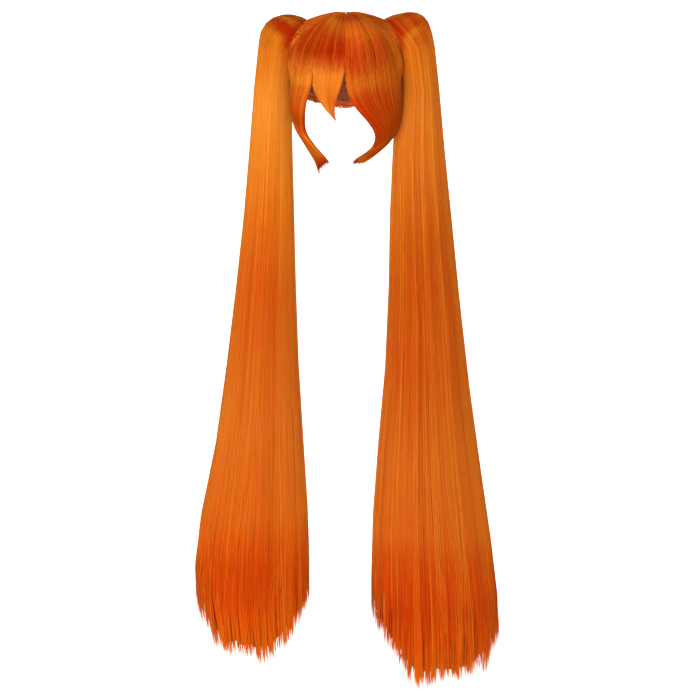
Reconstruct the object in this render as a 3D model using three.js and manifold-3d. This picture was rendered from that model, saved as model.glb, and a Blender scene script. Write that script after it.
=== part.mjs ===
// Long twin-tail wig in its worn form: a hollow cap, hair gathered to a tie on each side,
// a split fringe that runs into two face-framing locks, and two clip-on tails.
// Millimetres, +Z up, the face towards -Y. The origin is the crown of the head, inside the cap.
import * as THREE from "three";
import { mergeVertices } from "three/addons/utils/BufferGeometryUtils.js";
import Module from "manifold-3d";

const wasm = await Module();
wasm.setup();

// The head that the cap is cut for: half of an ellipsoid above its widest level, about 54 cm round.
const HEAD = { halfWidth: 76, halfDepth: 96, height: 100 };
const CAP_WALL = 1.6;
const GAP = 0.4; // between neighbouring pieces
const LIFT = 0.9; // of the hair above the cap
const CAP_COLUMNS = 32;
const CAP_ROWS = 8;

// Where the cap ends, by azimuth: 0 is the face, 90 the ear, 180 the nape.
const CAP_EDGE = [
  { azimuth: 0, polar: 66 },
  { azimuth: 45, polar: 70 },
  { azimuth: 76, polar: 93 },
  { azimuth: 110, polar: 102 },
  { azimuth: 150, polar: 114 },
  { azimuth: 180, polar: 118 },
];

// Hair that lies on the cap, combed from the partings to a tie on each side of the head.
const GATHER = {
  thickness: 7, // of the hair on the head
  flare: 14, // how far the hair lifts off the head as it draws up to the tie
  rib: 0.8, // height of the combed ridges
  rows: 6,
  tieAzimuth: 102,
  tiePolar: 57,
  tieSpread: 17, // degrees round the tie where the hair turns outwards
  stubRadius: 19,
  stubStart: 25, // distances along the tie's axis
  stubEnd: 40,
  parting: 0.3, // half the width of the back parting
};

// The edge of one side's gathered hair, and the number of ridges to the next corner.
const GATHER_EDGE = [
  { corner: "crown back", azimuth: 179.5, polar: 4, ridges: 6 },
  { corner: "nape", azimuth: 179.5, polar: 119, ridges: 2 },
  { corner: "nape side", azimuth: 150, polar: 115.5, ridges: 3 },
  { corner: "behind the ear", azimuth: 110, polar: 104, ridges: 3 },
  { corner: "temple", azimuth: 77, polar: 96, ridges: 5 },
  { corner: "crown front", azimuth: 77, polar: 4, ridges: 1 },
];

// Locks of the front hair. Each row is a height below the crown, the azimuths of the lock's two
// edges there, how far the hair follows the head's girth (1) or draws in under the jaw, and thickness.
const FRONT_LOCKS = {
  side_lock_left: [
    { drop: 0.5, from: -76, to: -39.3, girth: 1, thick: 5 },
    { drop: 6.5, from: -76, to: -39.3, girth: 1, thick: 6.5 },
    { drop: 22, from: -76, to: -39.3, girth: 1, thick: 7.5 },
    { drop: 50, from: -76, to: -39.3, girth: 1, thick: 8.5 },
    { drop: 75, from: -76, to: -39.3, girth: 1, thick: 8.5 },
    { drop: 98, from: -76, to: -40.5, girth: 1, thick: 8.5 },
    { drop: 125, from: -77, to: -50.5, girth: 1, thick: 8.5 },
    { drop: 152, from: -81, to: -55.5, girth: 1, thick: 8.5 },
    { drop: 174, from: -78, to: -59, girth: 0.96, thick: 8 },
    { drop: 193, from: -70, to: -53, girth: 0.87, thick: 7 },
    { drop: 212, from: -59, to: -37, girth: 0.77, thick: 6 },
    { drop: 226, from: -52, to: -29, girth: 0.71, thick: 4.5 },
    { drop: 236, from: -46, to: -40, girth: 0.68, thick: 2 },
  ],
  fringe: [
    { drop: 0.5, from: -38.7, to: -1.3, girth: 1, thick: 5 },
    { drop: 6.5, from: -38.7, to: -1.3, girth: 1, thick: 6.5 },
    { drop: 22, from: -38.7, to: -1.3, girth: 1, thick: 7.5 },
    { drop: 50, from: -38.7, to: -1.3, girth: 1, thick: 8.5 },
    { drop: 75, from: -38.7, to: -1.6, girth: 1, thick: 8.5 },
    { drop: 98, from: -38.5, to: -5.5, girth: 1, thick: 8 },
    { drop: 114, from: -33, to: -9.5, girth: 1, thick: 7.5 },
    { drop: 131, from: -24, to: -12.3, girth: 1, thick: 6 },
    { drop: 141, from: -17, to: -12.3, girth: 1, thick: 4.5 },
    { drop: 150, from: -11.8, to: -10.8, girth: 1, thick: 2 },
  ],
  side_lock_right: [
    { drop: 0.5, from: -0.7, to: 76, girth: 1, thick: 5 },
    { drop: 6.5, from: -0.7, to: 76, girth: 1, thick: 6.5 },
    { drop: 22, from: -0.7, to: 76, girth: 1, thick: 7.5 },
    { drop: 50, from: -0.7, to: 76, girth: 1, thick: 8.5 },
    { drop: 75, from: -0.5, to: 76, girth: 1, thick: 8.5 },
    { drop: 102, from: 1.5, to: 76, girth: 1, thick: 8.5 },
    { drop: 128, from: 10, to: 77, girth: 1, thick: 9 },
    { drop: 150, from: 23, to: 79, girth: 1, thick: 9.5 },
    { drop: 175, from: 36, to: 79, girth: 0.96, thick: 10 },
    { drop: 193, from: 38, to: 69, girth: 0.87, thick: 9 },
    { drop: 204, from: 30, to: 60, girth: 0.79, thick: 7 },
    { drop: 215, from: 15, to: 49, girth: 0.71, thick: 5 },
    { drop: 225, from: 10, to: 29, girth: 0.66, thick: 2.5 },
  ],
};
const LOCK_RIDGES = { side_lock_left: 6, fringe: 6, side_lock_right: 9 };
const LOCK_STEPS = 2; // sections from one row to the next, where the lock lies on the head
const LOCK_RIB = 0.9;
const LOCK_EDGE_SHARE = 0.42; // of its thickness that a lock keeps at its edges

// The plain closed clip, hidden in the tail, that grips the gathered hair.
const CLIP = { wall: 2.4, length: 12, start: 26.5, sides: 24 };

// Tails. Each row is a height, the distances of the inner and outer edge from the middle plane, and
// the centre and half of the depth.
const TAILS = {
  tail_left: {
    side: -1,
    sections: [
      { z: 2.5, inner: 84, outer: 103, middleY: 21, halfDepth: 10 },
      { z: -2, inner: 73, outer: 117, middleY: 21, halfDepth: 22 },
      { z: -8, inner: 67, outer: 126, middleY: 21, halfDepth: 29 },
      { z: -22, inner: 74, outer: 136, middleY: 20, halfDepth: 34 },
      { z: -50, inner: 85, outer: 141, middleY: 17, halfDepth: 36 },
      { z: -100, inner: 88, outer: 147, middleY: 11, halfDepth: 37 },
      { z: -180, inner: 88, outer: 154, middleY: 1, halfDepth: 38 },
      { z: -350, inner: 85, outer: 171, middleY: -15, halfDepth: 42 },
      { z: -530, inner: 82, outer: 195, middleY: -22, halfDepth: 47 },
      { z: -700, inner: 74, outer: 220, middleY: -27, halfDepth: 53 },
      { z: -860, inner: 66, outer: 254, middleY: -29, halfDepth: 58 },
      { z: -970, inner: 65, outer: 265, middleY: -30, halfDepth: 60 },
      { z: -1110, inner: 64, outer: 252, middleY: -30, halfDepth: 58 },
    ],
    // Height of the cut ends across the tail, from its inner to its outer edge.
    ends: [
      { share: 0, z: -1022 },
      { share: 0.15, z: -1066 },
      { share: 0.36, z: -1104 },
      { share: 0.55, z: -1092 },
      { share: 0.8, z: -1088 },
      { share: 1, z: -1036 },
    ],
  },
  tail_right: {
    side: 1,
    sections: [
      { z: 6, inner: 94, outer: 113, middleY: 21, halfDepth: 10 },
      { z: 1.5, inner: 79, outer: 123, middleY: 21, halfDepth: 22 },
      { z: -5, inner: 68, outer: 130, middleY: 21, halfDepth: 29 },
      { z: -22, inner: 74, outer: 137, middleY: 20, halfDepth: 34 },
      { z: -50, inner: 85, outer: 143, middleY: 17, halfDepth: 36 },
      { z: -100, inner: 88, outer: 149, middleY: 11, halfDepth: 38 },
      { z: -150, inner: 84, outer: 154, middleY: 5, halfDepth: 39 },
      { z: -220, inner: 75, outer: 161, middleY: -4, halfDepth: 41 },
      { z: -350, inner: 72, outer: 176, middleY: -15, halfDepth: 45 },
      { z: -530, inner: 69, outer: 197, middleY: -22, halfDepth: 51 },
      { z: -700, inner: 56, outer: 221, middleY: -27, halfDepth: 57 },
      { z: -860, inner: 46, outer: 247, middleY: -29, halfDepth: 62 },
      { z: -1000, inner: 44, outer: 266, middleY: -30, halfDepth: 65 },
      { z: -1150, inner: 42, outer: 275, middleY: -30, halfDepth: 64 },
    ],
    ends: [
      { share: 0, z: -1040 },
      { share: 0.12, z: -1090 },
      { share: 0.33, z: -1142 },
      { share: 0.57, z: -1146 },
      { share: 0.83, z: -1130 },
      { share: 1, z: -1090 },
    ],
  },
};
const TAIL = {
  ridges: 20,
  furrow: 0.05, // depth of the furrow between locks, as a share of the half width
  domeSteps: 2, // rings from one row to the next, down to the row at domeEnd
  domeEnd: -100,
  frayFrom: -900, // below this the locks part
  notch: 26, // how far up the locks part at the ends
  notchSpread: 30,
  frayRows: [0.35, 0.65, 0.88, 1],
  tipShrink: 0.04,
  underside: 140, // how far above the ends the underside closes
  crestRise: 1, // of the dome's middle above its first row
};

// Synthetic fibre in a warm orange, the cap's net, and the clip's plastic.
const FIBRE = new THREE.MeshStandardMaterial({ color: 0xe0640f, roughness: 0.42, metalness: 0 });
const NET = new THREE.MeshStandardMaterial({ color: 0xb9561c, roughness: 0.85, metalness: 0 });
const CLIP_PLASTIC = new THREE.MeshStandardMaterial({ color: 0x2b2320, roughness: 0.4, metalness: 0 });

const radians = THREE.MathUtils.degToRad;
const mix = THREE.MathUtils.lerp;

// The direction of a place on the head, on a unit sphere.
function direction(azimuth, polar) {
  const ring = Math.sin(radians(polar));
  return new THREE.Vector3(
    ring * Math.sin(radians(azimuth)),
    -ring * Math.cos(radians(azimuth)),
    Math.cos(radians(polar)),
  );
}

// The point in that direction, a distance out from the head.
function onHead(dir, out) {
  return new THREE.Vector3(
    dir.x * (HEAD.halfWidth + out),
    dir.y * (HEAD.halfDepth + out),
    dir.z * (HEAD.height + out) - HEAD.height,
  );
}

// The place a share of the way along the great circle between two directions.
function between(a, b, share) {
  const angle = a.angleTo(b);
  if (angle < 1e-6) return a.clone();
  return a
    .clone()
    .multiplyScalar(Math.sin((1 - share) * angle) / Math.sin(angle))
    .addScaledVector(b, Math.sin(share * angle) / Math.sin(angle));
}

// A smooth value from a table's column, by another column that only rises or only falls.
function smooth(table, by, column, at) {
  const falling = table[table.length - 1][by] < table[0][by];
  let i = 0;
  while (i < table.length - 2 && (falling ? at < table[i + 1][by] : at > table[i + 1][by])) i++;
  const [before, from, to, after] = [i - 1, i, i + 1, i + 2].map(
    (k) => table[THREE.MathUtils.clamp(k, 0, table.length - 1)],
  );
  const slope = (a, b) => (a === b ? 0 : (b[column] - a[column]) / (b[by] - a[by]));
  const span = to[by] - from[by];
  const t = THREE.MathUtils.clamp((at - from[by]) / span, 0, 1);
  const start = from[column];
  const end = to[column];
  const startSlope = slope(before, to) * span;
  const endSlope = slope(from, after) * span;
  return (
    (2 * t ** 3 - 3 * t ** 2 + 1) * start +
    (t ** 3 - 2 * t ** 2 + t) * startSlope +
    (3 * t ** 2 - 2 * t ** 3) * end +
    (t ** 3 - t ** 2) * endSlope
  );
}

// Two triangles for each cell between neighbouring rows of points.
function sheet(rows) {
  const triangles = [];
  for (let r = 0; r + 1 < rows.length; r++) {
    for (let c = 0; c + 1 < rows[r].length; c++) {
      const [a, b] = [rows[r][c], rows[r][c + 1]];
      const [d, e] = [rows[r + 1][c + 1], rows[r + 1][c]];
      triangles.push([a, b, d], [a, d, e]);
    }
  }
  return triangles;
}

// A closed geometry from triangles that together surround a solid, with its faces turned outwards.
function closed(triangles) {
  const points = triangles.flat().flatMap((p) => [p.x, p.y, p.z]);
  const loose = new THREE.BufferGeometry();
  loose.setAttribute("position", new THREE.Float32BufferAttribute(points, 3));
  const merged = mergeVertices(loose, 1e-3);
  const position = merged.getAttribute("position");
  const corner = [new THREE.Vector3(), new THREE.Vector3(), new THREE.Vector3()];
  const faces = [];
  let volume = 0;
  for (let i = 0; i < merged.index.count; i += 3) {
    const [a, b, c] = [0, 1, 2].map((k) => merged.index.getX(i + k));
    if (a === b || b === c || c === a) continue;
    [a, b, c].forEach((vertex, k) => corner[k].fromBufferAttribute(position, vertex));
    volume += corner[0].dot(corner[1].cross(corner[2]));
    faces.push([a, b, c]);
  }
  merged.setIndex(faces.flatMap(([a, b, c]) => (volume < 0 ? [a, c, b] : [a, b, c])));
  return merged;
}

// The solid between rings of points, each ring closed on itself. The end rings are single points.
function ringSolid(rings) {
  return closed(sheet(rings.map((ring) => [...ring, ring[0]])));
}

// The solid between an outer and an inner sheet of the same rows and columns.
function wallSolid(outer, inner) {
  const last = outer.length - 1;
  const loops = outer.map((row, r) => [...row, ...inner[r].toReversed(), row[0]]);
  return closed([
    ...sheet(loops),
    ...sheet([inner[0], outer[0]]),
    ...sheet([outer[last], inner[last]]),
  ]);
}

function toSolid(geometry) {
  return new wasm.Manifold(
    new wasm.Mesh({
      numProp: 3,
      vertProperties: new Float32Array(geometry.getAttribute("position").array),
      triVerts: new Uint32Array(geometry.index.array),
    }),
  );
}

function fromSolid(solid) {
  const mesh = solid.getMesh();
  const geometry = new THREE.BufferGeometry();
  geometry.setAttribute("position", new THREE.BufferAttribute(new Float32Array(mesh.vertProperties), 3));
  geometry.setIndex(new THREE.BufferAttribute(new Uint32Array(mesh.triVerts), 1));
  return geometry;
}

function piece(name, geometry, material) {
  geometry.computeVertexNormals();
  const mesh = new THREE.Mesh(geometry, material);
  mesh.name = name;
  return mesh;
}

// The hollow cap: its outside from the crown to the edge, then its inside back to the crown.
function capGeometry() {
  const ring = (share, out) =>
    Array.from({ length: CAP_COLUMNS }, (_, c) => {
      const azimuth = (360 * c) / CAP_COLUMNS;
      const edge = smooth(CAP_EDGE, "azimuth", "polar", Math.min(azimuth, 360 - azimuth));
      return onHead(direction(azimuth, edge * share), out);
    });
  const shares = Array.from({ length: CAP_ROWS + 1 }, (_, r) => r / CAP_ROWS);
  return ringSolid([
    ...shares.map((share) => ring(share, CAP_WALL)),
    ...shares.toReversed().map((share) => ring(share, 0)),
  ]);
}

// Where one side's hair is tied: the place on the head and the way the stub points.
function tie(side) {
  const place = direction(side * GATHER.tieAzimuth, GATHER.tiePolar);
  const centre = onHead(place, CAP_WALL + GATHER.thickness / 2);
  const axis = new THREE.Vector3(
    place.x / HEAD.halfWidth,
    place.y / HEAD.halfDepth,
    place.z / HEAD.height,
  ).normalize();
  return { place, centre, axis };
}

// The edge of one side's gathered hair as directions, one for each ridge and each furrow.
function gatherEdge(side) {
  const corners = GATHER_EDGE.map((row) => direction(side * row.azimuth, row.polar));
  return GATHER_EDGE.flatMap((row, i) => {
    const next = corners[(i + 1) % corners.length];
    const columns = 2 * row.ridges;
    return Array.from({ length: columns }, (_, c) => between(corners[i], next, c / columns));
  });
}

// One side's hair: its outside runs from the tied stub over the head to the edge, its inside back
// to the place under the tie. Extra swells it, for the hollow that a tail needs to sit over it.
function gatherGeometry(side, extra = 0) {
  const edge = gatherEdge(side);
  const { place, centre, axis } = tie(side);
  const inside = CAP_WALL + LIFT;
  const tieShare = (dir) => 1 - radians(GATHER.tieSpread) / dir.angleTo(place);
  const aside = (point) => point.setX(point.x + side * GATHER.parting);
  const over = (share, out, rib, flare) =>
    edge.map((dir, c) => {
      const reach = share * tieShare(dir);
      const ridge = c % 2 ? 0 : rib;
      return aside(onHead(between(dir, place, reach), out + ridge + flare * share ** 2));
    });
  const stub = (along, radius) =>
    over(1, GATHER.thickness, 0, 0).map((foot) => {
      const spoke = foot.sub(centre);
      spoke.addScaledVector(axis, -spoke.dot(axis)).setLength(radius);
      return centre.clone().addScaledVector(axis, along).add(spoke);
    });
  const shares = Array.from({ length: GATHER.rows + 1 }, (_, r) => r / GATHER.rows);
  const outside = inside + GATHER.thickness + extra;
  const radius = GATHER.stubRadius + extra;
  return ringSolid([
    stub(GATHER.stubEnd + extra, 0),
    stub(GATHER.stubEnd + extra, radius),
    stub(GATHER.stubStart, radius),
    ...shares.toReversed().map((share) => over(share, outside, GATHER.rib, GATHER.flare)),
    ...shares.map((share) => over(share, inside, 0, 0)),
    edge.map(() => aside(onHead(place, inside))),
  ]);
}

// The point of the front hair at a height below the crown, following the head and then its girth.
function frontPoint(azimuth, drop, girth, out) {
  const rise = Math.max(0, 1 - drop / HEAD.height);
  const polar = Math.acos(rise);
  const ring = Math.sin(polar) * girth;
  const below = Math.max(0, drop - HEAD.height);
  return new THREE.Vector3(
    (HEAD.halfWidth + out) * ring * Math.sin(radians(azimuth)),
    -(HEAD.halfDepth + out) * ring * Math.cos(radians(azimuth)),
    (HEAD.height + out) * rise - HEAD.height - below,
  );
}

// A lock of the front hair: thick and ridged outside, thin at its edges, clear of the cap inside.
function lockGeometry(name) {
  const table = FRONT_LOCKS[name].map((row, index) => ({ ...row, index }));
  const columns = 2 * LOCK_RIDGES[name];
  const inside = CAP_WALL + LIFT;
  const stations = table.flatMap((row, i) => {
    const steps = row.drop < HEAD.height && i < table.length - 1 ? LOCK_STEPS : 1;
    return Array.from({ length: steps }, (_, s) => i + s / steps);
  });
  const rows = (outer) =>
    stations.map((station) => {
      const [drop, from, to, girth, thick] = ["drop", "from", "to", "girth", "thick"].map((column) =>
        smooth(table, "index", column, station),
      );
      return Array.from({ length: columns + 1 }, (_, c) => {
        const across = c / columns;
        const crown = Math.sqrt(Math.max(0, 1 - (2 * across - 1) ** 4));
        const ridge = c % 2 ? LOCK_RIB * Math.min(1, thick / 8) : 0;
        const depth = outer ? thick * mix(LOCK_EDGE_SHARE, 1, crown) + ridge : 0;
        return frontPoint(mix(from, to, across), drop, girth, inside + depth);
      });
    });
  return wallSolid(rows(true), rows(false));
}

// A round solid turned about a tie's axis, from its radius at each distance along the axis.
function turned(profile, centre, axis) {
  const points = profile.map(([radius, along]) => new THREE.Vector2(radius, along));
  const solid = new THREE.LatheGeometry(points, CLIP.sides);
  const turn = new THREE.Quaternion().setFromUnitVectors(new THREE.Vector3(0, 1, 0), axis);
  solid.applyQuaternion(turn).translate(centre.x, centre.y, centre.z);
  const triangles = [];
  const position = solid.getAttribute("position");
  for (let i = 0; i < solid.index.count; i += 3) {
    const corners = [0, 1, 2].map((k) => solid.index.getX(i + k));
    triangles.push(corners.map((vertex) => new THREE.Vector3().fromBufferAttribute(position, vertex)));
  }
  return closed(triangles);
}

// The clip: a plain ring closed round the stub of gathered hair.
function clipGeometry(side) {
  const { centre, axis } = tie(side);
  const radius = GATHER.stubRadius + GAP;
  const end = CLIP.start + CLIP.length;
  const profile = [
    [radius, CLIP.start],
    [radius + CLIP.wall, CLIP.start],
    [radius + CLIP.wall, end],
    [radius, end],
    [radius, CLIP.start],
  ];
  return turned(profile, centre, axis);
}

// The room that the clip takes inside a tail.
function clipRoom(side) {
  const { centre, axis } = tie(side);
  const radius = GATHER.stubRadius + CLIP.wall + 2 * GAP;
  const profile = [
    [0, CLIP.start - GAP],
    [radius, CLIP.start - GAP],
    [radius, GATHER.stubEnd + GAP],
    [0, GATHER.stubEnd + GAP],
  ];
  return turned(profile, centre, axis);
}

// A repeatable share from 0 to 1 for each lock of a tail.
function spread(lock, seed) {
  const wave = Math.sin(lock * 12.9898 + seed * 78.233) * 43758.5453;
  return wave - Math.floor(wave);
}

// A tail: rings of ridges and furrows from the dome over the clip down to the parted ends.
function tailGeometry(name) {
  const { side, sections, ends } = TAILS[name];
  const columns = 2 * TAIL.ridges;
  const at = (z, column) => smooth(sections, "z", column, z);
  const point = (c, z, shrink) => {
    const angle = (2 * Math.PI * c) / columns;
    const halfWidth = (at(z, "outer") - at(z, "inner")) / 2;
    const middle = (at(z, "outer") + at(z, "inner")) / 2;
    const furrow = c % 2 ? TAIL.furrow : 0;
    const reach = 1 - furrow - shrink;
    return new THREE.Vector3(
      side * (middle + halfWidth * reach * Math.cos(angle)),
      at(z, "middleY") + at(z, "halfDepth") * reach * Math.sin(angle),
      z,
    );
  };
  const endOf = (c) => {
    const share = (1 + Math.cos((2 * Math.PI * c) / columns)) / 2;
    const cut = smooth(ends, "share", "z", share);
    const lock = Math.floor(c / 2);
    const notch = c % 2 ? TAIL.notch + TAIL.notchSpread * spread(lock, side) : 0;
    return cut + notch;
  };
  const ringOf = (heightAt, shrink) =>
    Array.from({ length: columns }, (_, c) => point(c, heightAt(c), shrink));
  const heights = sections
    .flatMap((row, i) => {
      const next = sections[i + 1];
      if (!next) return [];
      const steps = row.z > TAIL.domeEnd ? TAIL.domeSteps : 1;
      return Array.from({ length: steps }, (_, s) => mix(row.z, next.z, s / steps));
    })
    .filter((z) => z > TAIL.frayFrom);
  const lowest = Math.min(...ends.map((row) => row.z));
  const crest = sections[0].z;
  const pole = (z, height) => {
    const point = new THREE.Vector3((side * (at(z, "outer") + at(z, "inner"))) / 2, at(z, "middleY"), height);
    return Array.from({ length: columns }, () => point);
  };
  const rings = [
    pole(crest, crest + TAIL.crestRise),
    ...heights.map((z) => ringOf(() => z, 0)),
    ...TAIL.frayRows.map((share) =>
      ringOf((c) => mix(TAIL.frayFrom, endOf(c), share), TAIL.tipShrink * share ** 3),
    ),
    pole(lowest, lowest + TAIL.underside),
  ];
  const hollow = toSolid(gatherGeometry(side, GAP)).add(toSolid(clipRoom(side)));
  return fromSolid(toSolid(ringSolid(rings)).subtract(hollow));
}

const wig = new THREE.Group();
wig.add(piece("cap", capGeometry(), NET));
for (const name of Object.keys(FRONT_LOCKS)) wig.add(piece(name, lockGeometry(name), FIBRE));
for (const [word, side] of [["left", -1], ["right", 1]]) {
  wig.add(piece(`gathered_hair_${word}`, gatherGeometry(side), FIBRE));
  wig.add(piece(`tail_clip_${word}`, clipGeometry(side), CLIP_PLASTIC));
  wig.add(piece(`tail_${word}`, tailGeometry(`tail_${word}`), FIBRE));
}

export default wig;
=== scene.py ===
"""Looks of a long twin-tail wig: locks of glossy synthetic fibre on a knitted net cap, in a white studio."""

import logging
import math
from dataclasses import dataclass, replace
from enum import Enum

import bmesh
import bpy
import numpy as np
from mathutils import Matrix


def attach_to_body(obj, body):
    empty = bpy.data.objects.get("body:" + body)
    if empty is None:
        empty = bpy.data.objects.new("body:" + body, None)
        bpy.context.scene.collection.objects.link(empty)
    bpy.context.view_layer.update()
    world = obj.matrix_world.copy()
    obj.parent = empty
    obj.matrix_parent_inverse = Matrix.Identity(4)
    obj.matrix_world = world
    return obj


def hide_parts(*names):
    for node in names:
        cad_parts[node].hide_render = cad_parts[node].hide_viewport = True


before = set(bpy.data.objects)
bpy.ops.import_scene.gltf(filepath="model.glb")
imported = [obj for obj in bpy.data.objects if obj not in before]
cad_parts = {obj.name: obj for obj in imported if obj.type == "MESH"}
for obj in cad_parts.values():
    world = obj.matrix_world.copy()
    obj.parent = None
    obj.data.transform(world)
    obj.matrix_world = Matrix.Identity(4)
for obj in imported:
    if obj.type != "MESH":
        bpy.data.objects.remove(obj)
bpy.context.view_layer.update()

LOG = logging.getLogger("wig")
MM = 0.001
BODY = "root"
STRAND_UV = "strand"
EXPORT_UV = "OFBake"
UP = np.array((0.0, 0.0, 1.0))
Array = np.ndarray
Colour = tuple[float, float, float, float]


# Small helpers


def linear(colour: str) -> Colour:
    """Turns an sRGB hex colour into linear values.

    Args:
        colour: Six hex digits after a hash sign.

    Returns:
        Red, green, blue and alpha.
    """
    shares = [int(colour[i : i + 2], 16) / 255 for i in (1, 3, 5)]
    red, green, blue = (s / 12.92 if s <= 0.04045 else ((s + 0.055) / 1.055) ** 2.4 for s in shares)
    return red, green, blue, 1.0


def add(tree: bpy.types.NodeTree, kind: str, values: dict | None = None, links: dict | None = None,
        **settings: object) -> bpy.types.Node:
    """Adds a node with its settings and links.

    Args:
        tree: The node tree it goes into.
        kind: The node's type.
        values: Values of its inputs, by name or number.
        links: Outputs that feed its inputs, by name or number.
        settings: The node's own properties.

    Returns:
        The new node.
    """
    node = tree.nodes.new(kind)
    for name, value in settings.items():
        setattr(node, name, value)
    for key, value in (values or {}).items():
        node.inputs[key].default_value = value
    for key, output in (links or {}).items():
        tree.links.new(output, node.inputs[key])
    return node


def smooth(knots: Array, values: Array, at: Array) -> Array:
    """Reads a smooth curve through one column of a table.

    Args:
        knots: Where the table's rows stand, rising or falling.
        values: The column's value in each row.
        at: Where to read it.

    Returns:
        The values there, held at the ends.
    """
    knots, values, at = (np.asarray(a, float) for a in (knots, values, at))
    if knots[-1] < knots[0]:
        knots, at = -knots, -at
    slopes = np.empty_like(values)
    slopes[0] = (values[1] - values[0]) / (knots[1] - knots[0])
    slopes[-1] = (values[-1] - values[-2]) / (knots[-1] - knots[-2])
    slopes[1:-1] = (values[2:] - values[:-2]) / (knots[2:] - knots[:-2])
    at = np.clip(at, knots[0], knots[-1])
    row = np.clip(np.searchsorted(knots, at, side="right") - 1, 0, len(knots) - 2)
    span = knots[row + 1] - knots[row]
    t = (at - knots[row]) / span
    start = (2 * t**3 - 3 * t**2 + 1) * values[row] + (t**3 - 2 * t**2 + t) * span * slopes[row]
    return start + (3 * t**2 - 2 * t**3) * values[row + 1] + (t**3 - t**2) * span * slopes[row + 1]


def ease(low: float, high: float, at: Array) -> Array:
    """Rises smoothly from 0 at low to 1 at high."""
    t = np.clip((np.asarray(at, float) - low) / (high - low), 0, 1)
    return t * t * (3 - 2 * t)


def mix(start: Array, stop: Array, share: Array) -> Array:
    """Goes from start to stop by a share."""
    return start + (stop - start) * share


def unit(vectors: Array) -> Array:
    """Gives each vector the length 1, or points it up where it has none."""
    length = np.linalg.norm(vectors, axis=-1, keepdims=True)
    return np.where(length > 1e-9, vectors / np.maximum(length, 1e-9), UP)


def fetch(items: bpy.types.bpy_prop_collection, field: str, width: int = 1,
          kind: type = np.float32) -> Array:
    """Reads one field of all items into an array.

    Args:
        items: Vertices, corners, faces or values.
        field: The field's name.
        width: How many numbers the field has.
        kind: Type of the numbers.

    Returns:
        A row for each item, or just a number where the width is 1.
    """
    found = np.empty(len(items) * width, kind)
    items.foreach_get(field, found)
    return found.reshape(-1, width) if width > 1 else found


def put(name: str, data: bpy.types.ID) -> bpy.types.Object:
    """Puts a new object into the scene.

    Args:
        name: The object's name.
        data: Its mesh, light or camera.

    Returns:
        The object.
    """
    thing = bpy.data.objects.new(name, data)
    bpy.context.scene.collection.objects.link(thing)
    return thing


def begin(name: str) -> tuple[bpy.types.Material, bpy.types.NodeTree, bpy.types.Node]:
    """Begins a material.

    Args:
        name: The material's name.

    Returns:
        The material, its node tree and its shader.
    """
    material = bpy.data.materials.new(name)
    material.use_nodes = True
    return material, material.node_tree, material.node_tree.nodes["Principled BSDF"]


# Finishes


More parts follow.
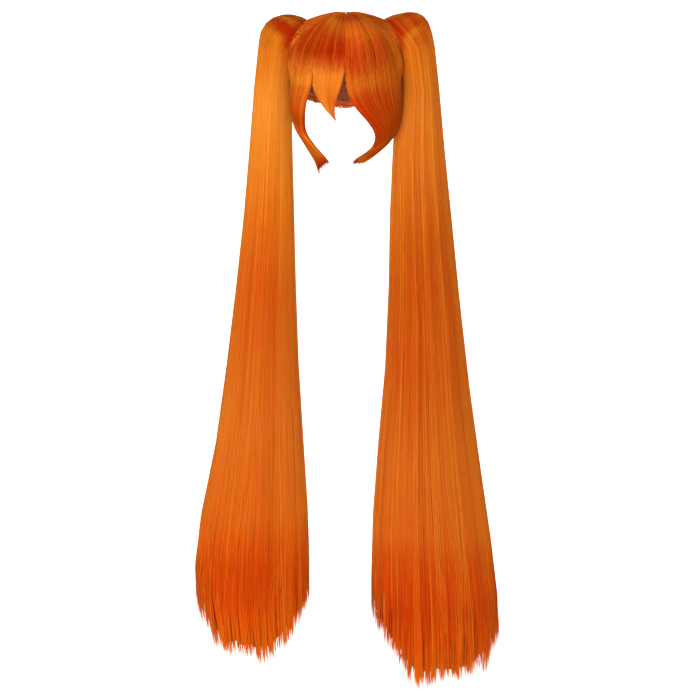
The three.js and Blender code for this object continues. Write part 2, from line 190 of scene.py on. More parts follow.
@dataclass(frozen=True)
class FibreFinish:
    """Modacrylic fibre, extruded and set straight by heat.

    It is smooth and half clear, so its gloss runs as a band across the strands, tinted by the fibre. The
    strands differ a little in colour, and thin layers at the edge of a lock look lighter and more yellow.

    Attributes:
        name: The material's name.
        stops: Colours along the lock, as pairs of share and sRGB hex: partly the fibre's own, partly painted
            highlight and painted shade.
        light: Colour of the lightest strands.
        dark: Colour of the deepest strands.
        streaks: Fine lines of colour across one strand, drawn coarser than real 0.08 mm fibres to show.
        gloss: Colour of the gloss.
        shine: Share of light that the gloss throws back head-on, more than the 0.04 of one clear surface.
        edge: Colour of thin layers at the edge.
        thin: How much those thin layers show.
        haze: Spread of the light that they let through.
        swing: How far the lightest and the deepest strands go to their colours.
        relief: Height of the streaks, in mm.
        roughness: Spread of the gloss.
        anisotropy: How far the gloss is drawn out across the strands.
        ior: Far below the fibre's own 1.5, because round fibres side by side don't turn white at a low angle
            as a flat sheet does. The shine doesn't depend on it.
    """

    name: str
    stops: tuple[tuple[float, str], ...]
    light: str = "#AE5E14"
    dark: str = "#7C0A00"
    streaks: float = 2.5
    gloss: str = "#FFD830"
    shine: float = 0.079
    edge: str = "#FFB040"
    thin: float = 0.3
    haze: float = 0.4
    swing: float = 0.85
    relief: float = 0.3
    roughness: float = 0.45
    anisotropy: float = 1.0
    ior: float = 1.015

    def material(self) -> bpy.types.Material:
        """Builds the material.

        Returns:
            The fibre material, which reads the strand UV map and the tint and along attributes.
        """
        material, tree, shader = begin(self.name)
        tint = add(tree, "ShaderNodeAttribute", attribute_name="tint").outputs["Fac"]
        along = add(tree, "ShaderNodeAttribute", attribute_name="along").outputs["Fac"]
        uv = add(tree, "ShaderNodeUVMap", uv_map=STRAND_UV).outputs["UV"]
        # The colour along the lock from the stops, with the painted highlight and painted shade that they
        # hold.
        ramp = add(tree, "ShaderNodeValToRGB", links={"Fac": along})
        while len(ramp.color_ramp.elements) < len(self.stops):
            ramp.color_ramp.elements.new(0.5)
        for element, (share, colour) in zip(ramp.color_ramp.elements, self.stops):
            element.position = share
            element.color = linear(colour)
        # The tint goes into the pattern's third axis, far enough that no two strands have the same streaks.
        place = add(tree, "ShaderNodeCombineXYZ", {}, {"Z": tint}).outputs[0]
        apart = {1: (1.0, 1.0, 40.0)}
        spot = add(tree, "ShaderNodeVectorMath", apart, {0: place, 2: uv}, operation="MULTIPLY_ADD")
        scale = {1: (self.streaks, 1.2, 1.0)}
        drawn = add(tree, "ShaderNodeVectorMath", scale, {0: spot.outputs[0]}, operation="MULTIPLY")
        noise = {"Scale": 1.0, "Detail": 3.0, "Roughness": 0.65}
        lines = add(tree, "ShaderNodeTexNoise", noise, {"Vector": drawn.outputs[0]}).outputs["Fac"]
        # Tint and streak together are about 1, where the lock has its own colour.
        both = add(tree, "ShaderNodeMath", {}, {0: tint, 1: lines}, operation="ADD").outputs[0]
        lift = {"From Min": 1.05, "From Max": 1.6, "To Max": self.swing}
        light = add(tree, "ShaderNodeMapRange", lift, {"Value": both}).outputs["Result"]
        sink = {"From Min": 0.95, "From Max": 0.35, "To Max": self.swing}
        dark = add(tree, "ShaderNodeMapRange", sink, {"Value": both}).outputs["Result"]
        body = {0: light, 6: ramp.outputs["Color"]}
        lighter = add(tree, "ShaderNodeMix", {7: linear(self.light)}, body, data_type="RGBA")
        body = {0: dark, 6: lighter.outputs[2]}
        deeper = add(tree, "ShaderNodeMix", {7: linear(self.dark)}, body, data_type="RGBA")
        height = {"Strength": 0.25, "Distance": self.relief * MM}
        bump = add(tree, "ShaderNodeBump", height, {"Height": lines})
        tangent = add(tree, "ShaderNodeTangent", direction_type="UV_MAP", uv_map=STRAND_UV)
        tree.links.new(deeper.outputs[2], shader.inputs["Base Color"])
        tree.links.new(bump.outputs["Normal"], shader.inputs["Normal"])
        tree.links.new(tangent.outputs["Tangent"], shader.inputs["Tangent"])
        shader.inputs["Roughness"].default_value = self.roughness
        clear = ((self.ior - 1) / (self.ior + 1)) ** 2
        gloss = tuple(self.shine / clear * c for c in linear(self.gloss)[:3])
        shader.inputs["Specular Tint"].default_value = gloss + (1.0,)
        shader.inputs["Sheen Weight"].default_value = self.thin
        shader.inputs["Sheen Roughness"].default_value = self.haze
        shader.inputs["Sheen Tint"].default_value = linear(self.edge)
        shader.inputs["Anisotropic"].default_value = self.anisotropy
        shader.inputs["IOR"].default_value = self.ior
        return material


# Strands


@dataclass
class Strands:
    """Guide lines of a bundle of strands, each a row of points from root to tip.

    Attributes:
        points: Place of each point, in mm, by strand and station.
        lie: The way each point faces, out of the lock.
        girth: Share of the full strand width at each point.
        along: Share of the lock's length at each point.
        tint: A value for each strand, or each of its points, from 0 for the deepest to 1 for the lightest.
        closed: Whether each line runs back to its start.
    """

    points: Array
    lie: Array
    girth: Array
    along: Array
    tint: Array
    closed: bool = False


@dataclass
class Core:
    """The packed fibre inside a lock: closed rings from its root to its end.

    Attributes:
        rings: Place of each point, in mm, by ring and column.
        along: Share of the lock's length at each point.
        tint: Lightness of each column.
        weave: Size of a column and of the whole length on the UV map.
    """

    rings: Array
    along: Array
    tint: Array
    weave: tuple[float, float] = (1.0, 1.0)

    def build(self, name: str) -> bpy.types.Object:
        """Makes the closed mesh.

        Args:
            name: The object's name.

        Returns:
            The object, with its UV map and attributes.
        """
        rows, columns = self.rings.shape[:2]
        ids = np.arange(rows * columns).reshape(rows, columns)
        after = np.roll(ids, -1, axis=1)
        sides = np.stack((ids[:-1], after[:-1], after[1:], ids[1:]), axis=-1).reshape(-1, 4)
        half = np.arange(columns // 2 - 1)
        strip = np.stack((half, half + 1, columns - 2 - half, columns - 1 - half), axis=-1)
        faces = np.concatenate((sides, ids[0][strip][:, ::-1], ids[-1][strip]))
        mesh = bpy.data.meshes.new(name)
        mesh.from_pydata((self.rings.reshape(-1, 3) * MM).tolist(), [], faces.tolist())
        for key, values in (("along", self.along), ("tint", np.broadcast_to(self.tint, (rows, columns)))):
            attribute = mesh.attributes.new(key, "FLOAT", "POINT")
            attribute.data.foreach_set("value", np.ascontiguousarray(values, np.float32).ravel())
        across = faces % columns
        seam = (across == 0) & (across.max(axis=1, keepdims=True) == columns - 1)
        across = np.where(seam, columns, across)
        pair = np.stack((across * self.weave[0], self.along.ravel()[faces] * self.weave[1]), axis=-1)
        layer = mesh.uv_layers.new(name=STRAND_UV)
        layer.data.foreach_set("uv", pair.astype(np.float32).ravel())
        shell = bmesh.new()
        shell.from_mesh(mesh)
        bmesh.ops.recalc_face_normals(shell, faces=shell.faces)
        shell.to_mesh(mesh)
        shell.free()
        mesh.polygons.foreach_set("use_smooth", [True] * len(mesh.polygons))
        return put(name, mesh)


class SweepInput(Enum):
    """Named inputs of the strand tree, with the type of each socket."""

    CORE = ("Core", "NodeSocketObject")
    WIDTH = ("Strand width", "NodeSocketFloat")
    THICKNESS = ("Strand thickness", "NodeSocketFloat")
    SIDES = ("Profile sides", "NodeSocketInt")
    FIBRE = ("Fibre", "NodeSocketMaterial")


class StrandSweep:
    """Geometry Nodes that sweep a flat lens along each guide line and add the core under the strands."""

    def __init__(self) -> None:
        """Builds the tree."""
        self.tree = bpy.data.node_groups.new("strand sweep", "GeometryNodeTree")
        self.sockets: dict[SweepInput, str] = {}
        self._declare()
        self._wire()

    def _declare(self) -> None:
        face = self.tree.interface
        face.new_socket("Guides", in_out="INPUT", socket_type="NodeSocketGeometry")
        for entry in SweepInput:
            name, kind = entry.value
            self.sockets[entry] = face.new_socket(name, in_out="INPUT", socket_type=kind).identifier
        face.new_socket("Lock", in_out="OUTPUT", socket_type="NodeSocketGeometry")

    def _wire(self) -> None:
        """Adds the nodes and their links."""
        tree = self.tree
        given = add(tree, "NodeGroupInput").outputs
        name = {entry: given[entry.value[0]] for entry in SweepInput}
        girth = add(tree, "GeometryNodeInputNamedAttribute", {"Name": "girth"}, data_type="FLOAT")
        lie = add(tree, "GeometryNodeInputNamedAttribute", {"Name": "lie"}, data_type="FLOAT_VECTOR")
        along = add(tree, "GeometryNodeInputNamedAttribute", {"Name": "along"}, data_type="FLOAT")
        lines = add(tree, "GeometryNodeMeshToCurve", {}, {"Mesh": given["Guides"]})
        turned = {"Curve": lines.outputs["Curve"], "Normal": lie.outputs["Attribute"]}
        laid = add(tree, "GeometryNodeSetCurveNormal", {}, turned, mode="FREE")
        corners = {"Resolution": name[SweepInput.SIDES]}
        ring = add(tree, "GeometryNodeCurvePrimitiveCircle", {"Radius": 1.0}, corners)
        spin = {"Rotation": (0.0, 0.0, math.radians(-120))}
        base = add(tree, "GeometryNodeTransform", spin, {"Geometry": ring.outputs["Curve"]})
        size = {"X": name[SweepInput.THICKNESS], "Y": name[SweepInput.WIDTH]}
        whole = add(tree, "ShaderNodeCombineXYZ", {"Z": 1.0}, size)
        halves = {1: (0.5, 0.5, 1.0)}
        scale = add(tree, "ShaderNodeVectorMath", halves, {0: whole.outputs[0]}, operation="MULTIPLY")
        flat = {"Geometry": base.outputs["Geometry"], "Scale": scale.outputs[0]}
        lens = add(tree, "GeometryNodeTransform", {}, flat)
        step = add(tree, "GeometryNodeSplineParameter").outputs["Factor"]
        marked = {"Geometry": lens.outputs["Geometry"], "Value": step}
        profile = add(tree, "GeometryNodeStoreNamedAttribute", {"Name": "across"}, marked, data_type="FLOAT")
        path = {"Curve": laid.outputs["Curve"], "Profile Curve": profile.outputs["Geometry"]}
        path["Scale"] = girth.outputs["Attribute"]
        swept = add(tree, "GeometryNodeCurveToMesh", {"Fill Caps": True}, path)
        across = add(tree, "GeometryNodeInputNamedAttribute", {"Name": "across"}, data_type="FLOAT")
        pair = {"X": across.outputs["Attribute"], "Y": along.outputs["Attribute"]}
        spot = add(tree, "ShaderNodeCombineXYZ", {}, pair)
        stored = {"Geometry": swept.outputs["Mesh"], "Value": spot.outputs[0]}
        kind = {"data_type": "FLOAT2", "domain": "CORNER"}
        mapped = add(tree, "GeometryNodeStoreNamedAttribute", {"Name": STRAND_UV}, stored, **kind)
        soft = add(tree, "GeometryNodeSetShadeSmooth", {}, {"Geometry": mapped.outputs["Geometry"]})
        core = add(tree, "GeometryNodeObjectInfo", {}, {"Object": name[SweepInput.CORE]})
        both = add(tree, "GeometryNodeJoinGeometry")
        tree.links.new(core.outputs["Geometry"], both.inputs[0])
        tree.links.new(soft.outputs["Geometry"], both.inputs[0])
        real = add(tree, "GeometryNodeRealizeInstances", {}, {"Geometry": both.outputs["Geometry"]})
        dressed = {"Geometry": real.outputs["Geometry"], "Material": name[SweepInput.FIBRE]}
        last = add(tree, "GeometryNodeSetMaterial", {}, dressed)
        add(tree, "NodeGroupOutput", {}, {"Lock": last.outputs["Geometry"]})

    @staticmethod
    def _guides(name: str, bundles: list[Strands]) -> bpy.types.Mesh:
        """Makes a mesh of edges that holds the guide lines and their attributes.

        Args:
            name: The mesh's name.
            bundles: The strands.

        Returns:
            The mesh.
        """
        edges = []
        first = 0
        for bundle in bundles:
            count, stations = bundle.girth.shape
            ids = first + np.arange(count * stations).reshape(count, stations)
            edges.append(np.stack((ids[:, :-1], ids[:, 1:]), axis=-1).reshape(-1, 2))
            if bundle.closed:
                edges.append(np.stack((ids[:, -1], ids[:, 0]), axis=-1))
            first += count * stations
        points = np.concatenate([b.points.reshape(-1, 3) for b in bundles]) * MM
        mesh = bpy.data.meshes.new(name)
        mesh.from_pydata(points.tolist(), np.concatenate(edges).tolist(), [])
        columns = {
            "girth": np.concatenate([b.girth.ravel() for b in bundles]),
            "along": np.concatenate([b.along.ravel() for b in bundles]),
            "tint": np.concatenate([
                np.broadcast_to(b.tint.reshape(len(b.tint), -1), b.girth.shape).ravel() for b in bundles
            ]),
        }
        for key, values in columns.items():
            mesh.attributes.new(key, "FLOAT", "POINT").data.foreach_set("value", values.astype(np.float32))
        lie = np.concatenate([b.lie.reshape(-1, 3) for b in bundles]).astype(np.float32)
        mesh.attributes.new("lie", "FLOAT_VECTOR", "POINT").data.foreach_set("vector", lie.ravel())
        return mesh

    @staticmethod
    def _lay(mesh: bpy.types.Mesh, share: float) -> None:
        """Turns the strands' shading towards the lock's own, as fibres in a strand lie flat side by side.

        The faces on the inside of a strand keep their own, as they face the other way.

        Args:
            mesh: The swept mesh, which still has its lie attribute.
            share: Share of the way from the strand's roundness to the lock's.
        """
        lie = fetch(mesh.attributes["lie"].data, "vector", 3)
        own = fetch(mesh.vertices, "normal", 3)
        swept = np.linalg.norm(lie, axis=1, keepdims=True) > 0.5
        corners = fetch(mesh.loops, "vertex_index", kind=np.int32)
        sizes = fetch(mesh.polygons, "loop_total", kind=np.int32)
        plain = np.repeat(fetch(mesh.polygons, "normal", 3), sizes, axis=0)
        laid = unit(np.where(swept, mix(own, lie, share), own))[corners]
        inner = np.sum(plain * lie[corners], axis=1) < -0.3
        laid[inner] = plain[inner]
        mesh.normals_split_custom_set(laid.tolist())

    @staticmethod
    def _chart(mesh: bpy.types.Mesh) -> None:
        """Adds a second UV map for the fibre's colours, lightness across and length down.

        A point's colour hangs on these two, so strands of one lightness share a column of the map, which has
        a narrow margin all round.

        Args:
            mesh: The swept mesh, which still has its across attribute.
        """
        keys = ("tint", "along", "across")
        tint, along, across = (fetch(mesh.attributes[key].data, "value") for key in keys)
        corners = fetch(mesh.loops, "vertex_index", kind=np.int32)
        pair = np.stack((0.01 + 0.96 * tint + 0.02 * across, 0.005 + 0.99 * along), axis=-1)[corners]
        mesh.uv_layers.new(name=EXPORT_UV).data.foreach_set("uv", pair.astype(np.float32).ravel())

    def run(self, name: str, bundles: list[Strands], core: bpy.types.Object | None,
            size: tuple[float, float], material: bpy.types.Material, sides: int = 3,
            flat: float = 0.0) -> bpy.types.Object:
        """Sweeps the strands over the core into one plain mesh.

        Args:
            name: The piece's name.
            bundles: The strands.
            core: What lies under them, which is used up.
            size: Width and thickness of a strand, in mm.
            material: The finish.
            sides: Sides of the strand's section.
            flat: How far the strands' shading follows the lock's, from 0 to 1.

        Returns:
            The finished piece.
        """
        piece = put(name, self._guides(name, bundles))
        modifier = piece.modifiers.new("strands", "NODES")
        modifier.node_group = self.tree
        modifier[self.sockets[SweepInput.CORE]] = core
        modifier[self.sockets[SweepInput.WIDTH]] = size[0] * MM
        modifier[self.sockets[SweepInput.THICKNESS]] = size[1] * MM
        modifier[self.sockets[SweepInput.SIDES]] = sides
        modifier[self.sockets[SweepInput.FIBRE]] = material
        graph = bpy.context.evaluated_depsgraph_get()
        made = piece.evaluated_get(graph)
        mesh = bpy.data.meshes.new_from_object(made, preserve_all_data_layers=True, depsgraph=graph)
        piece.modifiers.remove(modifier)
        piece.data = mesh
        if flat:
            self._lay(mesh, flat)
            self._chart(mesh)
        for spare in ("girth", "lie", "across"):
            found = mesh.attributes.get(spare)
            if found:
                mesh.attributes.remove(found)
        if core:
            bpy.data.objects.remove(core)
        return piece


def attach(piece: bpy.types.Object, slot: str, *nodes: str) -> None:
    """Ties a finished piece to the frame and logs it.

    Args:
        piece: The piece.
        slot: The record's material slot of its finish; not used.
        nodes: The solids that it stands for.
    """
    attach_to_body(piece, BODY)
    if nodes:
        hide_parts(*nodes)
    piece.data.calc_loop_triangles()
    LOG.info("%s: %d triangles", piece.name, len(piece.data.loop_triangles))


# The head that the wig is shaped on


@dataclass(frozen=True)
class HeadForm:
    """The egg-shaped form under the cap, with its crown at the origin. Sizes in mm.

    Attributes:
        half_width: Half of its width.
        half_depth: Half of its depth, front to back.
        height: From its middle up to the crown.
        cap_wall: Thickness of the cap on it.
        lift: Room between the cap and the hair.
    """

    half_width: float = 76.0
    half_depth: float = 96.0
    height: float = 100.0
    cap_wall: float = 1.6
    lift: float = 0.9

    @property
    def inside(self) -> float:
        """Where the hair begins, out from the form."""
        return self.cap_wall + self.lift

    @property
    def size(self) -> Array:
        """Half width, half depth and height."""
        return np.array((self.half_width, self.half_depth, self.height))

    @property
    def rise(self) -> Array:
        """The way from its middle up to the crown."""
        return np.array((0.0, 0.0, self.height))

    @staticmethod
    def direction(azimuth: Array, polar: Array) -> Array:
        """Finds directions from the middle of the form.

        Args:
            azimuth: Angles round the form, 0 towards the face and 90 to the right, in degrees.
            polar: Angles down from the crown, in degrees.

        Returns:
            The directions, with the length 1.
        """
        a, p = np.radians(azimuth), np.radians(polar)
        up = np.cos(p) * np.ones_like(a)
        return np.stack((np.sin(p) * np.sin(a), -np.sin(p) * np.cos(a), up), axis=-1)

    def over(self, ways: Array, out: Array) -> Array:
        """Finds points in these directions at a distance out from the form."""
        return ways * (self.size + np.asarray(out, float)[..., None]) - self.rise

    def facing(self, points: Array) -> Array:
        """Finds the way out of the form, level where the form has ended.

        Args:
            points: Places on the form or near it, in mm.

        Returns:
            A direction for each, with the length 1.
        """
        way = (points + self.rise) / self.size**2
        way[..., 2] = np.maximum(way[..., 2], 0.0)
        return unit(way)


HEAD = HeadForm()


# Hair


@dataclass(kw_only=True)
class HairPiece:
    """One lock of hair: a core of packed fibre under a layer of strands.

    Attributes:
        node: The solid that it stands for.
        finish: The fibre.
        seed: Seed of all that is random in it.
        strands: How many strands lie on it.
        width: Width of a strand, in mm.
        thickness: Thickness of a strand, in mm.
        tone: Middle of the strands' tints.
        flat: How far the strands' shading follows the lock's.
    """

    node: str
    finish: FibreFinish
    seed: int
    strands: int
    width: float
    thickness: float
    tone: float
    flat: float = 0.5

    def core(self, chance: np.random.Generator) -> Core:
        """The packed fibre inside the lock."""
        raise NotImplementedError

    def bundles(self, chance: np.random.Generator) -> list[Strands]:
        """The strands on the lock."""
        raise NotImplementedError

    def build(self, sweep: StrandSweep) -> bpy.types.Object:
        """Makes the lock and ties it to the frame.

        Args:
            sweep: The tree that sweeps the strands.

        Returns:
            The finished piece.
        """
        chance = np.random.default_rng(self.seed)
        core = self.core(chance).build(self.node + "_core")
        size = (self.width, self.thickness)
        fibre = self.finish.material()
        piece = sweep.run(self.node + "_hair", self.bundles(chance), core, size, fibre, flat=self.flat)
        attach(piece, "hair_fibre", self.node)
        return piece


@dataclass(frozen=True)
class LockRow:
    """A row of a front lock: its drop below the crown, its two edges in degrees, its girth and thickness."""

    drop: float
    start: float
    stop: float
    girth: float
    thick: float


@dataclass(kw_only=True)
class FrontLock(HairPiece):
    """A section of the front hair, from the crown over the forehead to its tip.

    Attributes:
        rows: The lock's table, from the crown down.
        cut: Shares of the table where the strands at its two edges are cut.
        core_end: Share of that length where the packed fibre ends.
        edge_share: Share of its thickness that the lock keeps at its edges, where it hangs free.
        free: How far it rounds off to each edge, -1 and 1 for free edges and 0 for one against a tail.
        joined: Drops between which it parts from its neighbours, in mm.
        spill: Spread of the strands over their neighbours on the crown, in degrees.
        clumps: Groups that the strands lie in.
        stations: Points along a strand.
        uneven: How much shorter the shortest strands are, as a share of the lock.
        tip: Share of its width that a strand keeps at its end.
        shade: How much deeper in colour its two edges turn, painted shade where an edge turns away from the
            lights; below 0 it paints light.
        shaded: Shares of its length between which they turn so.
        puff: How far it stands out over the gathered hair at the temple, in mm.
        temple: Degrees between which it comes to stand out so.
        temple_top: Drops between which that begins, in mm.
        temple_foot: Drops between which that ends, in mm.
        deep: Share of deep-coloured strands.
        longest: Drop of the longest lock, in mm, which ends the colours along the hair.
        core_columns: Points across the packed fibre.
        core_rows: Rings along it.
        core_inset: Share of the lock's width that it leaves bare at each edge.
        core_depth: Shares of the lock's thickness between which it lies.
    """

    strands: int = 420
    width: float = 1.4
    thickness: float = 0.4
    tone: float = 0.58
    rows: tuple[LockRow, ...]
    cut: tuple[float, float] = (1.0, 1.0)
    core_end: float = 0.985
    edge_share: float = 0.42
    free: tuple[float, float] = (-1.0, 1.0)
    joined: tuple[float, float] = (55.0, 85.0)
    spill: float = 2.5
    clumps: int = 26
    stations: int = 26
    uneven: float = 0.05
    tip: float = 0.3
    shade: tuple[float, float] = (0.0, 0.0)
    shaded: tuple[float, float] = (0.68, 0.9)
    puff: float = 9.0
    temple: tuple[float, float] = (66.0, 84.0)
    temple_top: tuple[float, float] = (18.0, 42.0)
    temple_foot: tuple[float, float] = (72.0, 100.0)
    deep: float = 0.18
    longest: float = 240.0
    core_columns: int = 24
    core_rows: int = 40
    core_inset: float = 0.012
    core_depth: tuple[float, float] = (0.05, 0.72)

    def column(self, name: str, station: Array) -> Array:
        """One column of the table at these places along it, in rows."""
        return smooth(np.arange(len(self.rows)), [getattr(row, name) for row in self.rows], station)

    def point(self, across: Array, station: Array, depth: Array | float,
              spill: Array | float = 0.0) -> Array:
        """Places points of the lock.

        Args:
            across: Share from one edge to the other.
            station: Place along the table, in rows.
            depth: Share of the thickness, 0 inside and 1 outside.
            spill: Degrees aside, where the lock is joined to its neighbours.

        Returns:
            The points, in mm.
        """
        drop, start, stop, girth, thick = (
            self.column(name, station) for name in ("drop", "start", "stop", "girth", "thick")
        )
        joined = 1 - ease(*self.joined, drop)
        turned = mix(start, stop, across) + spill * joined
        azimuth = np.radians(turned)
        bulge = np.sqrt(1 - np.clip(2 * across - 1, *self.free) ** 4)
        edge = mix(self.edge_share, 0.9, joined)
        temple = ease(*self.temple, np.abs(turned)) * ease(*self.temple_top, drop)
        temple = temple * (1 - ease(*self.temple_foot, drop))
        out = HEAD.inside + thick * mix(edge, 1, bulge) * depth + self.puff * temple
        rise = np.maximum(0, 1 - drop / HEAD.height)
        ring = np.sqrt(np.maximum(0, 1 - rise**2)) * girth
        below = np.maximum(0, drop - HEAD.height)
        x = (HEAD.half_width + out) * ring * np.sin(azimuth)
        y = -(HEAD.half_depth + out) * ring * np.cos(azimuth)
        return np.stack((x, y, (HEAD.height + out) * rise - HEAD.height - below), axis=-1)

    def facing(self, across: Array, station: Array, depth: Array) -> Array:
        """Finds the way out of the lock, from how its surface runs across and down.

        Args:
            across: Share from one edge to the other.
            station: Place along the table, in rows.
            depth: Share of the thickness.

        Returns:
            A direction for each place, with the length 1.
        """
        step = 0.03
        side = self.point(np.minimum(across + step, 1), station, depth)
        side = side - self.point(np.maximum(across - step, 0), station, depth)
        down = self.point(across, station + step, depth) - self.point(across, station - step, depth)
        return unit(np.cross(down, side))

    def core(self, chance: np.random.Generator) -> Core:
        """Lays the packed fibre inside the lock.

        Args:
            chance: The random generator.

        Returns:
            The packed fibre.
        """
        across = np.linspace(self.core_inset, 1 - self.core_inset, self.core_columns)
        share = np.linspace(0, 1, self.core_rows)[:, None]
        reach = share * mix(*self.cut, across) * self.core_end
        station = reach * (len(self.rows) - 1)
        inside, outside = self.core_depth
        outer = self.point(across, station, outside)
        inner = self.point(across, station, inside)[:, ::-1]
        tint = chance.normal(0.36, 0.08, 2 * self.core_columns)
        length = self.column("drop", station) / self.longest
        along = np.concatenate((length, length[:, ::-1]), axis=1)
        return Core(np.concatenate((outer, inner), axis=1), along, tint)

    def bundles(self, chance: np.random.Generator) -> list[Strands]:
        """Lays the strands on the lock.

        Args:
            chance: The random generator.

        Returns:
            One bundle.
        """
        count = self.strands
        across = (np.arange(count) + chance.uniform(0, 1, count)) / count
        clump = np.floor(across * self.clumps).astype(int)
        middle = (clump + 0.5) / self.clumps
        own = chance.normal(0, 0.12, self.clumps)[clump]
        groove = np.abs(2 * (across * self.clumps - clump) - 1) ** 3
        # Strands at the clumps' borders are painted darker, painted shade in the grooves between clumps,
        # where they also lie deeper.
        tint = self.tone + own + chance.normal(0, 0.16, count) - 0.16 * groove
        tint = tint - 0.4 * (chance.uniform(0, 1, count) < self.deep)
        short = chance.uniform(0, 1, count) ** 2 + 0.5 * chance.uniform(0, 1, self.clumps)[clump]
        stop = mix(*self.cut, across) - self.uneven * short
        share = np.linspace(0, 1, self.stations)
        reach = stop[:, None] * share
        drawn = mix(across[:, None], middle[:, None], 0.3 * ease(0.45, 1.0, reach))
        depth = (chance.uniform(0.8, 1.04, count) - 0.1 * groove)[:, None] * np.ones(self.stations)
        spill = chance.normal(0, self.spill, count)[:, None]
        station = reach * (len(self.rows) - 1)
        points = self.point(drawn, station, depth, spill)
        # Painted shade at the edges over part of the length, and painted light where the shade is below 0.
        shade = mix(*self.shade, across)[:, None] * ease(*self.shaded, reach)
        tint = np.clip(tint[:, None] - shade, 0, 1)
        girth = mix(0.55, 1.0, ease(0, 0.12, share)) * mix(1.0, self.tip, ease(0.85, 1.0, share))
        girth = np.broadcast_to(girth, (count, self.stations))
        along = self.column("drop", station) / self.longest
        return [Strands(points, self.facing(drawn, station, depth), girth, along, tint)]


@dataclass(frozen=True)
class EdgeCorner:
    """A corner of the gathered hair's edge, in degrees on the form."""

    azimuth: float
    polar: float


